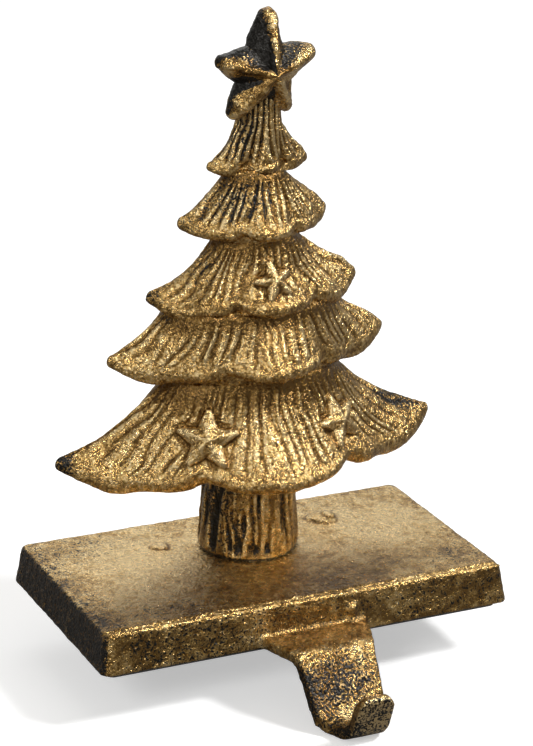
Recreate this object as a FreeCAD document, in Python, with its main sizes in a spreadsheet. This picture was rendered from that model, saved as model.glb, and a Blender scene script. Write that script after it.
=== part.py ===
import FreeCAD, Part
import math
import os

import Sketcher

# Mantel stocking holder: a cast-iron fir tree with a star, screwed onto a cored plate whose
# front edge carries a cast-in hook. Millimetres, +Z up, front towards -Y. The origin is the
# middle of the pad's lower face, where the holder rests on the shelf.

Vector = FreeCAD.Vector

PLATE_SIZES = {
    "plate_length": 134.4,
    "plate_width": 75.8,
    "plate_height": 12.2,
    "plate_draft": 7.9,
    "plate_corner_radius": 2.8,
    "plate_edge_radius": 1.3,
    "plate_wall": 6.0,
    "plate_skin": 5.0,
    "core_corner_radius": 5.0,
    "bead_width": 2.6,
    "bead_groove_width": 0.9,
    "bead_groove_depth": 0.5,
    "boss_radius": 11.0,
    "stub_radius": 2.6,
    "stub_height": 0.5,
    "left_stub_x": -26.1,
    "left_stub_y": 17.4,
    "right_stub_x": 30.5,
    "right_stub_y": 18.4,
    "right_stub_dome_radius": 4.2,
    "right_stub_dome_height": 0.6,
}

HOOK_SIZES = {
    "hook_centre_x": 0.6,
    "hook_thickness": 3.7,
    "hook_root_width": 34.4,
    "hook_bend_width": 25.0,
    "hook_slant_width": 23.0,
    "hook_bend_y": -52.1,
    "hook_slant_angle": 54.0,
    "hook_bend_radius": 5.0,
    "hook_throat_radius": 5.8,
    "hook_throat_y": -67.4,
    "hook_lip_angle": 69.0,
    "hook_lip_rise": 11.8,
    "hook_root_run": 14.6,
    "hook_throat_width": 15.4,
    "hook_lip_width": 11.8,
    "hook_tongue_round": 6.6,
    "hook_tongue_clearance": 2.5,
    "hook_lump_x": 13.2,
    "hook_lump_width": 2.8,
    "hook_lump_height": 8.8,
    "hook_lump_proud": 0.3,
}

FIXING_SIZES = {
    "pad_thickness": 1.5,
    "pad_margin": 2.6,
    "screw_radius": 3.0,
    "screw_length": 20.0,
    "screw_head_radius": 5.8,
    "screw_head_height": 3.4,
    "screw_head_flat_radius": 4.1,
    "screw_chamfer": 0.8,
    "screw_slot_width": 1.3,
    "screw_slot_length": 6.0,
    "screw_slot_depth": 1.8,
    "screw_clearance": 0.3,
    "thread_clearance": 0.05,
    "washer_radius": 6.2,
    "washer_thickness": 1.2,
    "counterbore_radius": 6.8,
    "screw_web": 7.0,
    "tapped_spare": 2.5,
}

TRUNK_SIZES = {
    "trunk_x": 0.8,
    "trunk_y": 10.6,
    "trunk_foot_radius": 15.1,
    "trunk_belly_radius": 15.7,
    "trunk_top_radius": 14.3,
    "trunk_height": 31.0,
    "trunk_groove_depth": 0.8,
    "trunk_grooves": 19,
}

TREE_SIZES = {
    "back_ratio": 0.86,
    "lobe_notch_depth": 0.13,
    "lobe_notch_rise": 0.55,
    "lobe_notch_width": 0.09,
    "slope_swell": 0.16,
    "needle_depth": 0.55,
    "top_half_span": 5.6,
    "top_rise": 14.0,
}

# Each skirt from the lowest up: its lip, then the neck where the next skirt sits on it. Heights
# are above the plate's underside, and the notches between its lobes are shares of its half span.
SKIRT_NAMES = ["half_span", "shift", "depth", "tip_height", "droop", "side_droop", "bulge", "left_notch",
               "right_notch", "lip_radius", "neck_half_span", "neck_depth", "neck_height", "flare", "needles"]
SKIRTS = [
    [63.1, -0.4, 32.4, 47.6, 4.9, 2.0, -0.06, 0.36, 0.38, 3.2, 27.5, 17.0, 71.0, 1.95, 50],
    [46.0, -1.2, 25.0, 77.9, 3.0, 1.8, -0.06, 0.27, 0.38, 2.8, 27.2, 16.0, 91.5, 1.65, 42],
    [34.9, 0.4, 20.0, 96.3, 2.7, 2.4, 0.04, 0.29, 0.40, 2.8, 13.0, 10.5, 113.0, 2.0, 38],
    [24.5, -0.1, 16.4, 118.2, 2.3, 0.3, 0.02, 0.31, 0.36, 2.5, 9.4, 8.2, 132.0, 1.45, 30],
    [16.5, 1.2, 8.8, 134.6, 0.6, 0.7, 0.08, 0.30, 0.34, 2.1, 6.8, 6.2, 147.0, 1.9, 20],
]

STAR_SIZES = {
    "star_x": 2.3,
    "star_y": 8.2,
    "star_above_top": 1.7,
    "star_turn": 4.0,
    "star_waist_radius": 9.6,
    "star_apex": 9.0,
    "star_tip_half_width": 2.2,
    "relief_waist_ratio": 0.42,
    "relief_apex": 2.4,
    "relief_sunk": 1.2,
    "relief_tip_half_width": 0.5,
}

# The arms of the star on top, which is not quite even: their length and their angle from upright.
ARM_NAMES = ["length", "angle"]
ARMS = [[19.1, 3.2], [18.0, 73.5], [15.2, 145.6], [17.1, 220.6], [16.3, 286.2]]

# Each relief star: the skirt it lies on, how far round from the front as a share of a quarter,
# how far down the slope as a share of it, its arm length and its turn in degrees.
RELIEF_ARMS = 5
RELIEF_NAMES = ["skirt", "round", "down", "arm", "turn"]
RELIEFS = [
    [1, -0.45, 0.43, 10.5, 8.0],
    [1, 0.55, 0.38, 9.0, -10.0],
    [3, 0.05, 0.52, 6.6, 4.0],
]

ALL_SIZES = {**PLATE_SIZES, **HOOK_SIZES, **FIXING_SIZES, **TRUNK_SIZES, **TREE_SIZES, **STAR_SIZES}
for number, row in enumerate(SKIRTS, start=1):
    ALL_SIZES.update({f"skirt{number}_{name}": value for name, value in zip(SKIRT_NAMES, row)})
for number, row in enumerate(ARMS, start=1):
    ALL_SIZES.update({f"star_arm{number}_{name}": value for name, value in zip(ARM_NAMES, row)})
for number, row in enumerate(RELIEFS, start=1):
    ALL_SIZES.update({f"relief{number}_{name}": value for name, value in zip(RELIEF_NAMES, row)})


def make_sheet(doc):
    """Write every driving size into the document's spreadsheet and return the sheet."""
    sheet = doc.addObject("Spreadsheet::Sheet", "Sizes")
    for line, (name, value) in enumerate(ALL_SIZES.items(), start=1):
        sheet.set(f"A{line}", name)
        sheet.set(f"B{line}", str(value))
        sheet.setAlias(f"B{line}", name)
    doc.recompute()
    return sheet


DOC = FreeCAD.newDocument("stocking_holder")
SHEET = make_sheet(DOC)


def size(name):
    """One driving size, read from the sheet."""
    return float(SHEET.get(name))


PLATE_FLOOR = size("pad_thickness")
PLATE_TOP = PLATE_FLOOR + size("plate_height")
FRONT_FOOT = -size("plate_width") / 2
DRAFT_RUN = size("plate_height") * math.tan(math.radians(size("plate_draft")))

# How far the outline of a cut stands off the face it opens, and a reach past the whole hook.
CUT_SPARE = 0.1
HOOK_SPARE = 40.0

# Shares that shape the hook's outlines: where the flare of its root passes, across and along, where
# the round of its tongue passes, across and up, and how much of the tongue's top stays flat.
ROOT_FLARE = (0.42, 0.62)
TONGUE_TURN = (0.82, 0.66)
TONGUE_FLAT = 0.25


# Sketch helpers

def sketch_on(body, role, name, offset=None):
    """A sketch on one of the body's own origin planes."""
    sketch = body.newObject("Sketcher::SketchObject", name)
    plane = next(item for item in body.Origin.OriginFeatures if item.Role == role)
    sketch.AttachmentSupport = (plane, [""])
    sketch.MapMode = "FlatFace"
    if offset:
        sketch.setExpression("AttachmentOffset.Base.z", offset)
    return sketch


def add_rectangle(sketch, length, width, label="outline"):
    """A rectangle centred on the sketch's origin, its sides bound to two expressions."""
    start = sketch.GeometryCount
    corners = [(-10, -5), (10, -5), (10, 5), (-10, 5)]
    for (x1, y1), (x2, y2) in zip(corners, corners[1:] + corners[:1]):
        sketch.addGeometry(Part.LineSegment(Vector(x1, y1, 0), Vector(x2, y2, 0)))
    for side in range(4):
        sketch.addConstraint(Sketcher.Constraint("Coincident", start + side, 2, start + (side + 1) % 4, 1))
    for side in (0, 2):
        sketch.addConstraint(Sketcher.Constraint("Horizontal", start + side))
        sketch.addConstraint(Sketcher.Constraint("Vertical", start + side + 1))
    sketch.addConstraint(Sketcher.Constraint("Symmetric", start, 1, start + 1, 2, -1, 1))
    for suffix, edge, expression in (("length", start, length), ("width", start + 1, width)):
        index = sketch.addConstraint(Sketcher.Constraint("Distance", edge, 10.0))
        sketch.renameConstraint(index, f"{label}_{suffix}")
        sketch.setExpression(f"Constraints.{label}_{suffix}", expression)


def add_circle(sketch, radius, place=("0 mm", "0 mm"), label="round"):
    """A circle whose radius and centre are bound to expressions."""
    circle = sketch.addGeometry(Part.Circle(Vector(1, 1, 0), Vector(0, 0, 1), 3.0))
    for suffix, constraint, expression in (
            ("x", Sketcher.Constraint("DistanceX", -1, 1, circle, 3, 1.0), place[0]),
            ("y", Sketcher.Constraint("DistanceY", -1, 1, circle, 3, 1.0), place[1]),
            ("radius", Sketcher.Constraint("Radius", circle, 3.0), radius)):
        index = sketch.addConstraint(constraint)
        sketch.renameConstraint(index, f"{label}_{suffix}")
        sketch.setExpression(f"Constraints.{label}_{suffix}", expression)


def add_path(sketch, points):
    """A closed outline of straight lines, or arcs where an entry holds a point on the way."""
    for (start, _), (end, middle) in zip(points, points[1:] + points[:1]):
        if middle:
            sketch.addGeometry(Part.Arc(Vector(*start, 0), Vector(*middle, 0), Vector(*end, 0)))
        else:
            sketch.addGeometry(Part.LineSegment(Vector(*start, 0), Vector(*end, 0)))


def edges_where(shape, test):
    """Names of the shape's edges that pass a test."""
    return [f"Edge{index}" for index, edge in enumerate(shape.Edges, start=1) if test(edge)]


def add_fillet(body, name, base, edges, radius):
    """Round some edges of the body's last feature."""
    fillet = body.newObject("PartDesign::Fillet", name)
    fillet.Base = (base, edges)
    fillet.setExpression("Radius", radius)
    DOC.recompute()
    return fillet


# The plate with its hook

def throat_profile():
    """Closed side outline of the hook in the YZ plane, from the plate forward round the throat."""
    thick = size("hook_thickness")
    slant = math.radians(size("hook_slant_angle"))
    lip = math.radians(size("hook_lip_angle"))
    bend = size("hook_bend_radius")
    throat = size("hook_throat_radius")
    top = PLATE_FLOOR + thick
    root_y = FRONT_FOOT + size("plate_wall")
    bend_y = size("hook_bend_y") + bend * math.tan(slant / 2)
    bend_centre = (bend_y, top - bend)
    # The slanted face leaves the bend and runs tangent into the throat.
    leave = (bend_centre[0] - bend * math.sin(slant), bend_centre[1] + bend * math.cos(slant))
    throat_entry_y = size("hook_throat_y") + throat * math.sin(slant)
    drop = (leave[0] - throat_entry_y) * math.tan(slant)
    throat_centre = (size("hook_throat_y"), leave[1] - drop + throat * math.cos(slant))

    def on_throat(radius, angle):
        return (throat_centre[0] + radius * math.sin(angle), throat_centre[1] - radius * math.cos(angle))

    def on_bend(radius, angle):
        return (bend_centre[0] - radius * math.sin(angle), bend_centre[1] + radius * math.cos(angle))

    rise = size("hook_lip_rise") - throat * (1 - math.cos(lip))
    lip_run = (-math.cos(lip) * rise / math.sin(lip), rise)

    def lip_end(radius):
        foot = on_throat(radius, -lip)
        return (foot[0] + lip_run[0], foot[1] + lip_run[1])

    outer = throat + thick
    inner_bend = bend - thick
    middle = throat + thick / 2
    nose = lip_end(middle)
    nose_tip = (nose[0] - thick / 2 * math.cos(lip), nose[1] + thick / 2 * math.sin(lip))
    return [
        ((root_y, PLATE_FLOOR), None),
        ((root_y, top), None),
        ((bend_y, top), None),
        (leave, on_bend(bend, slant / 2)),
        (on_throat(throat, slant), None),
        (on_throat(throat, -lip), on_throat(throat, (slant - lip) / 2)),
        (lip_end(throat), None),
        (lip_end(outer), nose_tip),
        (on_throat(outer, -lip), None),
        (on_throat(outer, slant), on_throat(outer, (slant - lip) / 2)),
        (on_bend(inner_bend, slant), None),
        ((bend_y, PLATE_FLOOR), on_bend(inner_bend, slant / 2)),
    ], throat_centre


def make_base_plate():
    """The cast plate: drafted block, core, boss, bolt hole, front bead, gate stubs and hook."""
    body = DOC.addObject("PartDesign::Body", "BasePlate")
    body.Label = "base_plate"

    outline = sketch_on(body, "XY_Plane", "PlateOutline", "Sizes.pad_thickness")
    add_rectangle(outline, "Sizes.plate_length", "Sizes.plate_width")
    block = body.newObject("PartDesign::Pad", "PlateBlock")
    block.Profile = outline
    block.setExpression("Length", "Sizes.plate_height")
    block.setExpression("TaperAngle", "-Sizes.plate_draft")
    DOC.recompute()
    rising = edges_where(block.Shape, lambda edge: abs(edge.Vertexes[0].Z - edge.Vertexes[-1].Z) > 1)
    corners = add_fillet(body, "PlateCorners", block, rising, "Sizes.plate_corner_radius")
    upper = edges_where(corners.Shape, lambda edge: min(v.Z for v in edge.Vertexes) > PLATE_TOP - 0.01)
    add_fillet(body, "PlateTopEdges", corners, upper, "Sizes.plate_edge_radius")

    # The core under the plate, left standing as a boss round the screw.
    core_sketch = sketch_on(body, "XY_Plane", "CoreOutline", "Sizes.pad_thickness")
    add_rectangle(core_sketch, "Sizes.plate_length - 2 * Sizes.plate_wall",
                  "Sizes.plate_width - 2 * Sizes.plate_wall")
    add_circle(core_sketch, "Sizes.boss_radius", ("Sizes.trunk_x", "Sizes.trunk_y"), "boss")
    core = add_pocket(body, "Core", core_sketch, "Sizes.plate_height - Sizes.plate_skin")
    inside = edges_where(core.Shape, is_core_corner)
    add_fillet(body, "CoreCorners", core, inside, "Sizes.core_corner_radius")

    for name, radius, depth in (
            ("Counterbore", "Sizes.counterbore_radius", "Sizes.plate_height - Sizes.screw_web"),
            ("ScrewHole", "Sizes.screw_radius + Sizes.screw_clearance", "Sizes.plate_height + 1")):
        hole = sketch_on(body, "XY_Plane", name + "Outline", "Sizes.pad_thickness")
        add_circle(hole, radius, ("Sizes.trunk_x", "Sizes.trunk_y"))
        add_pocket(body, name, hole, depth)

    # A thin groove behind the front top edge leaves a bead along it.
    groove_y = FRONT_FOOT + DRAFT_RUN + size("bead_width")
    half = size("bead_groove_width") / 2
    groove = sketch_on(body, "YZ_Plane", "BeadGrooveSection")
    above = PLATE_TOP + CUT_SPARE
    add_path(groove, [((groove_y - half, above), None), ((groove_y + half, above), None),
                      ((groove_y, PLATE_TOP - size("bead_groove_depth")), None)])
    add_pocket(body, "BeadGroove", groove, "Sizes.plate_length", midplane=True)

    # The remains of the two casting gates on top.
    top_face = "Sizes.pad_thickness + Sizes.plate_height"
    for name, radius, place, height in (
            ("LeftStub", "Sizes.stub_radius", ("Sizes.left_stub_x", "Sizes.left_stub_y"),
             "Sizes.stub_height"),
            ("RightDome", "Sizes.right_stub_dome_radius", ("Sizes.right_stub_x", "Sizes.right_stub_y"),
             "Sizes.right_stub_dome_height"),
            ("RightStub", "Sizes.stub_radius", ("Sizes.right_stub_x", "Sizes.right_stub_y"),
             "Sizes.right_stub_dome_height + Sizes.stub_height")):
        stub = sketch_on(body, "XY_Plane", name + "Outline", top_face)
        add_circle(stub, radius, place)
        pad = body.newObject("PartDesign::Pad", name)
        pad.Profile = stub
        pad.setExpression("Length", height)

    profile, throat_centre = throat_profile()
    side = sketch_on(body, "YZ_Plane", "HookSide", "Sizes.hook_centre_x")
    add_path(side, profile)
    strip = body.newObject("PartDesign::Pad", "HookStrip")
    strip.Profile = side
    strip.Midplane = True
    strip.setExpression("Length", "Sizes.hook_root_width")
    DOC.recompute()

    flanks = sketch_on(body, "XY_Plane", "HookFlanks")
    tongue_plane = size("hook_tongue_clearance") - throat_centre[0]
    tongue = sketch_on(body, "XZ_Plane", "HookTongue", f"{tongue_plane} mm")
    for side_sign in (1, -1):
        add_path(flanks, flank_outline(side_sign))
        add_path(tongue, tongue_outline(side_sign, throat_centre))
    add_pocket(body, "HookSides", flanks, f"{3 * HOOK_SPARE} mm", midplane=True)
    trim = body.newObject("PartDesign::Pocket", "HookTongueTrim")
    trim.Profile = tongue
    trim.Reversed = True
    trim.Length = HOOK_SPARE
    DOC.recompute()

    # A short lump of iron beside the hook's right end, on the front face.
    lump = sketch_on(body, "XY_Plane", "LumpOutline", "Sizes.pad_thickness")
    lump_y = FRONT_FOOT + DRAFT_RUN
    half = size("hook_lump_width") / 2
    front = FRONT_FOOT - size("hook_lump_proud")
    left, right = size("hook_lump_x") - half, size("hook_lump_x") + half
    add_path(lump, [((left, lump_y), None), ((left, front), None),
                    ((right, front), None), ((right, lump_y), None)])
    lump_pad = body.newObject("PartDesign::Pad", "Lump")
    lump_pad.Profile = lump
    lump_pad.setExpression("Length", "Sizes.hook_lump_height")
    DOC.recompute()
    return body


def add_pocket(body, name, sketch, depth, midplane=False):
    """Cut a sketch out of the body, upwards from its plane or both ways, and make sure it cut."""
    before = body.Shape.Volume
    pocket = body.newObject("PartDesign::Pocket", name)
    pocket.Profile = sketch
    pocket.Reversed = not midplane
    pocket.Midplane = midplane
    pocket.setExpression("Length", depth)
    DOC.recompute()
    if pocket.Shape.Volume >= before:
        raise RuntimeError(f"{name} cut nothing")
    return pocket


def is_core_corner(edge):
    """True for the four upright edges at the corners of the core."""
    upright = abs(edge.Vertexes[0].Z - edge.Vertexes[-1].Z) > size("plate_height") - size("plate_skin") - 0.5
    corner_x = size("plate_length") / 2 - size("plate_wall")
    corner_y = size("plate_width") / 2 - size("plate_wall")
    middle = edge.CenterOfMass
    return upright and abs(abs(middle.x) - corner_x) < 0.01 and abs(abs(middle.y) - corner_y) < 0.01


def flank_outline(side_sign):
    """What is cut away beside the hook, seen from above: a flared root, then an even taper to the lip."""
    root = size("hook_root_width") / 2
    bend = size("hook_bend_width") / 2
    waist_y = FRONT_FOOT - size("hook_root_run")
    throat_y = size("hook_throat_y")
    far = throat_y - size("hook_lip_rise") - size("hook_thickness")
    middle = (bend + ROOT_FLARE[0] * (root - bend), FRONT_FOOT + ROOT_FLARE[1] * (waist_y - FRONT_FOOT))
    outer = root + size("hook_thickness")
    lip = size("hook_lip_width") / 2
    points = [((root, FRONT_FOOT), None), ((bend, waist_y), middle),
              ((size("hook_slant_width") / 2, throat_y + size("hook_throat_radius")), None),
              ((size("hook_throat_width") / 2, throat_y), None),
              ((lip, throat_y - size("hook_throat_radius")), None),
              ((lip, far), None), ((outer, far), None), ((outer, FRONT_FOOT), None)]
    return mirror_path(points, side_sign, size("hook_centre_x"))


def tongue_outline(side_sign, throat_centre):
    """What is cut away beside the lip, seen from the front, to leave a rounded tongue."""
    half = size("hook_lip_width") / 2
    top = throat_centre[1] - size("hook_throat_radius") + size("hook_lip_rise") + size("hook_thickness") / 2
    turn = top - size("hook_tongue_round")
    middle = (half * TONGUE_TURN[0], turn + size("hook_tongue_round") * TONGUE_TURN[1])
    above = top + size("hook_thickness")
    outer = half + size("hook_thickness")
    flat = half * TONGUE_FLAT
    points = [((half + CUT_SPARE, turn), None), ((flat, top), middle), ((flat, above), None),
              ((outer, above), None), ((outer, turn), None)]
    return mirror_path(points, side_sign, size("hook_centre_x"))


def mirror_path(points, side_sign, centre):
    """The outline on the right of the hook's middle, or its mirror image on the left."""
    def place(point):
        return (centre + side_sign * point[0], point[1])
    return [(place(end), place(middle) if middle else None) for end, middle in points]


# Screw, washer and pad

def make_screw():
    """Pan-head screw from below, with a cross slot and its plain length up into the trunk."""
    body = DOC.addObject("PartDesign::Body", "TreeScrew")
    body.Label = "tree_screw"
    seat = PLATE_TOP - size("screw_web") - size("washer_thickness")
    bottom = seat - size("screw_head_height")
    radius, head = size("screw_radius"), size("screw_head_radius")
    tip = seat + size("screw_length")
    chamfer = size("screw_chamfer")
    half_height = bottom + size("screw_head_height") / 2
    section = sketch_on(body, "XZ_Plane", "ScrewSection")
    add_path(section, [((0, bottom), None), ((0, tip), None), ((radius - chamfer, tip), None),
                       ((radius, tip - chamfer), None), ((radius, seat), None), ((head, seat), None),
                       ((head, half_height), None), ((size("screw_head_flat_radius"), bottom), None)])
    turned = body.newObject("PartDesign::Revolution", "ScrewTurned")
    turned.Profile = section
    turned.ReferenceAxis = (section, ["V_Axis"])
    turned.Angle = 360
    DOC.recompute()
    slots = sketch_on(body, "XY_Plane", "ScrewSlots")
    slots.AttachmentOffset = FreeCAD.Placement(Vector(0, 0, bottom), FreeCAD.Rotation())
    long_half, half = size("screw_slot_length") / 2, size("screw_slot_width") / 2
    corners = [(half, long_half), (half, half), (long_half, half)]
    cross = []
    for turn in range(4):
        along, aside = round(math.cos(turn * math.pi / 2)), -round(math.sin(turn * math.pi / 2))
        for x, y in corners:
            cross.append(((x * along - y * aside, x * aside + y * along), None))
    add_path(slots, cross)
    add_pocket(body, "ScrewCross", slots, "Sizes.screw_slot_depth")
    body.setExpression("Placement.Base.x", "Sizes.trunk_x")
    body.setExpression("Placement.Base.y", "Sizes.trunk_y")
    return body


def make_washer():
    """Plain washer between the screw's head and the roof of the counterbore."""
    body = DOC.addObject("PartDesign::Body", "ScrewWasher")
    body.Label = "screw_washer"
    base = "Sizes.pad_thickness + Sizes.plate_height - Sizes.screw_web - Sizes.washer_thickness"
    ring = sketch_on(body, "XY_Plane", "WasherOutline", base)
    add_circle(ring, "Sizes.washer_radius", label="rim")
    add_circle(ring, "Sizes.screw_radius + Sizes.screw_clearance", label="hole")
    pad = body.newObject("PartDesign::Pad", "WasherDisc")
    pad.Profile = ring
    pad.setExpression("Length", "Sizes.washer_thickness")
    body.setExpression("Placement.Base.x", "Sizes.trunk_x")
    body.setExpression("Placement.Base.y", "Sizes.trunk_y")
    return body


def make_pad():
    """Thin non-slip sheet that closes the core and rests on the shelf."""
    body = DOC.addObject("PartDesign::Body", "UndersidePad")
    body.Label = "underside_pad"
    sheet = sketch_on(body, "XY_Plane", "PadOutline")
    add_rectangle(sheet, "Sizes.plate_length - 2 * Sizes.pad_margin",
                  "Sizes.plate_width - 2 * Sizes.pad_margin")
    pad = body.newObject("PartDesign::Pad", "PadSheet")
    pad.Profile = sheet
    pad.setExpression("Length", "Sizes.pad_thickness")
    DOC.recompute()
    upright = edges_where(pad.Shape, lambda edge: abs(edge.Vertexes[0].Z - edge.Vertexes[-1].Z) > 1)
    add_fillet(body, "PadCorners", pad, upright, "Sizes.plate_corner_radius")
    return body


# The tree

def facet_band(low, high):
    """Triangles between two closed rings that start at the front and may differ in count."""
    triangles = []
    i = j = 0
    while i < len(low) or j < len(high):
        a, b = low[i % len(low)], high[j % len(high)]
        if j == len(high) or (i < len(low) and (i + 0.5) / len(low) <= (j + 0.5) / len(high)):
            i += 1
            triangles.append((a, low[i % len(low)], b))
        else:
            j += 1
            triangles.append((a, high[j % len(high)], b))
    return triangles


def facet_skin(rings):
    """A solid whose side is faceted between closed rings, capped flat at its two ends."""
    faces = [Part.Face(Part.makePolygon(ring + ring[:1])) for ring in (rings[0], rings[-1])]
    for low, high in zip(rings, rings[1:]):
        for a, b, c in facet_band(low, high):
            faces.append(Part.Face(Part.makePolygon([a, b, c, a])))
    solid = Part.makeSolid(Part.makeShell(faces))
    if solid.Volume < 0:
        solid.reverse()
    return solid


def spread_evenly(outline, count):
    """Points at equal distances within each quarter of a closed outline, from the front round."""
    closed = outline + outline[:1]
    quarter = len(outline) // 4
    points = []
    for first in range(0, len(outline), quarter):
        arc = closed[first:first + quarter + 1]
        reach = [0.0]
        for start, end in zip(arc, arc[1:]):
            reach.append(reach[-1] + math.dist(start, end))
        place = 0
        for step in range(count // 4):
            wanted = reach[-1] * 4 * step / count
            while reach[place + 1] < wanted:
                place += 1
            share = (wanted - reach[place]) / (reach[place + 1] - reach[place])
            points.append(tuple(a + (b - a) * share for a, b in zip(arc[place], arc[place + 1])))
    return points


# Shape of a skirt's outline as shares of its half span: how full it is towards the side tips,
# where its outer lobes swell, where its lip droops beside the tips, and how sharply it rises there.
OUTLINE_POWER = 1.24
OUTLINE_FULLNESS = 0.85
BULGE_PLACE = 0.64
SIDE_DROOP_PLACE = 0.8
SWELL_WIDTH = 0.15
TIP_POWER = 7

# The slope swells above its lip like a cushion, and less so towards the side tips.
SWELL_POWER = 5
SWELL_FADE = 0.5
SWELL_FADE_POWER = 3


def lobe_notch(part, across):
    """How deep in the notch between two lobes a place across the skirt lies, from 0 to 1."""
    place = part["left_notch"] if across < 0 else part["right_notch"]
    return math.exp(-((abs(across) - place) / size("lobe_notch_width")) ** 2)


def skirt_outline(part, samples=720):
    """Middle of a skirt's lip from above: three lobes in front and behind, pointed at both sides."""
    half_span = part["half_span"] - part["lip_radius"]
    points = []
    for step in range(samples):
        turn = 2 * math.pi * step / samples
        across = math.sin(turn)
        fullness = (1 - abs(across) ** OUTLINE_POWER) ** OUTLINE_FULLNESS
        fullness *= 1 - size("lobe_notch_depth") * lobe_notch(part, across)
        fullness += part["bulge"] * math.exp(-((abs(across) - BULGE_PLACE) / SWELL_WIDTH) ** 2)
        reach = (part["depth"] - part["lip_radius"]) * (1 if math.cos(turn) > 0 else size("back_ratio"))
        points.append((half_span * across, -math.copysign(reach * fullness, math.cos(turn))))
    return points


def oval(half_span, depth, samples=360):
    """A plain oval from above, flatter behind."""
    points = []
    for step in range(samples):
        turn = 2 * math.pi * step / samples
        reach = depth if math.cos(turn) > 0 else depth * size("back_ratio")
        points.append((half_span * math.sin(turn), -reach * math.cos(turn)))
    return points


def on_tree(x, y, height):
    """A point of the tree from its place off the trunk's axis and its height above the plate's foot."""
    return Vector(size("trunk_x") + x, size("trunk_y") + y, PLATE_FLOOR + height)


def skirt_frame(number):
    """Lip centres, outward directions and neck points of one skirt, column by column."""
    part = {name: size(f"skirt{number}_{name}") for name in SKIRT_NAMES}
    columns = 2 * int(part["needles"])
    lip = spread_evenly(skirt_outline(part), columns)
    neck = spread_evenly(oval(part["neck_half_span"], part["neck_depth"]), columns)
    frame = []
    for (lip_x, lip_y), (neck_x, neck_y) in zip(lip, neck):
        across = lip_x / (part["half_span"] - part["lip_radius"])
        sag = part["droop"] * (1 - size("lobe_notch_rise") * lobe_notch(part, across))
        sag += part["side_droop"] * math.exp(-((abs(across) - SIDE_DROOP_PLACE) / SWELL_WIDTH) ** 2)
        sag *= 1 - abs(across) ** TIP_POWER
        run = math.hypot(lip_x - neck_x, lip_y - neck_y)
        outward = ((lip_x - neck_x) / run, (lip_y - neck_y) / run)
        swell = size("slope_swell") * (1 - SWELL_FADE * abs(across) ** SWELL_FADE_POWER)
        frame.append(((part["shift"] + lip_x, lip_y, part["tip_height"] - sag), outward,
                      (part["shift"] + neck_x, neck_y, part["neck_height"]), swell))
    return part, frame


# Where the rings of a skirt lie: round the lip in degrees up to its crown, then down the slope as
# shares of it.
LIP_ANGLES = [-78, -25, 20]
LIP_CROWN = 55
SLOPE_STEPS = [1.0, 0.84, 0.66, 0.46, 0.24, 0.0]

# A needle ridge stands off the slope outwards and upwards, and its height varies from one to the next.
NEEDLE_OUT = 0.6
NEEDLE_UP = 0.8
NEEDLE_VARIATION = 0.4
NEEDLE_PHASE = 2.4


def slope_point(part, column, share):
    """A point of a skirt's slope: share 0 at the neck, 1 at the crown of the lip."""
    (lip_x, lip_y, lip_z), (dx, dy), (neck_x, neck_y, neck_z), swell = column
    out = part["lip_radius"] * math.cos(math.radians(LIP_CROWN))
    top = part["lip_radius"] * math.sin(math.radians(LIP_CROWN))
    fall = (1 - swell) * (1 - (1 - share) ** part["flare"]) + swell * share ** SWELL_POWER
    return (neck_x + (lip_x + dx * out - neck_x) * share, neck_y + (lip_y + dy * out - neck_y) * share,
            neck_z + (lip_z + top - neck_z) * fall)


def skirt_rings(number):
    """Rings of one skirt of branches: rounded lip, then a flaring slope of needle ridges."""
    part, frame = skirt_frame(number)
    radius = part["lip_radius"]
    rings = []
    for angle in LIP_ANGLES:
        out, rise = radius * math.cos(math.radians(angle)), radius * math.sin(math.radians(angle))
        rings.append([on_tree(x + dx * out, y + dy * out, z + rise) for (x, y, z), (dx, dy), _, _ in frame])
    for share in SLOPE_STEPS:
        ring = []
        fade = math.sin(math.pi * min(1.04 - share, 0.5))
        for index, column in enumerate(frame):
            x, y, z = slope_point(part, column, share)
            ridge = size("needle_depth") * fade * (1 + NEEDLE_VARIATION * math.sin(NEEDLE_PHASE * index))
            ridge *= (-1) ** index
            dx, dy = column[1]
            out = ridge * NEEDLE_OUT
            ring.append(on_tree(x + dx * out, y + dy * out, z + ridge * NEEDLE_UP))
        rings.append(ring)
    return rings


# Rings of the trunk: share of its height, the radius there, and how much of the groove depth.
TRUNK_LEVELS = [(0, "foot", 0), (0.05, "belly", 0.3), (0.5, "middle", 1), (1, "top", 1)]
GROOVE_VARIATION = 0.5
GROOVE_PHASE = 1.7


def trunk_rings():
    """Rings of the round trunk: upright bark grooves, and rounded in at the foot."""
    count = 2 * int(size("trunk_grooves"))
    radii = {name: size(f"trunk_{name}_radius") for name in ("foot", "belly", "top")}
    radii["middle"] = (radii["belly"] + radii["top"]) / 2
    rings = []
    for share, level, depth in TRUNK_LEVELS:
        ring = []
        for index in range(count):
            angle = 2 * math.pi * index / count
            groove = size("trunk_groove_depth") * depth * (index % 2)
            reach = radii[level] - groove * (1 + GROOVE_VARIATION * math.sin(GROOVE_PHASE * index))
            ring.append(on_tree(reach * math.sin(angle), -reach * math.cos(angle),
                                size("plate_height") + share * size("trunk_height")))
        rings.append(ring)
    return rings


def make_branches():
    """Trunk, skirts and the stub under the star as one cast skin, from the foot up."""
    rings = trunk_rings()
    for number in range(1, len(SKIRTS) + 1):
        rings += skirt_rings(number)
    part, frame = skirt_frame(len(SKIRTS))
    shift, shrink = part["shift"], size("top_half_span") / part["neck_half_span"]
    rings.append([on_tree(shift + (x - shift) * shrink, y * shrink, z + size("top_rise"))
                  for _, _, (x, y, z), _ in frame])
    return add_shape("Branches", facet_skin(rings))


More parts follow.
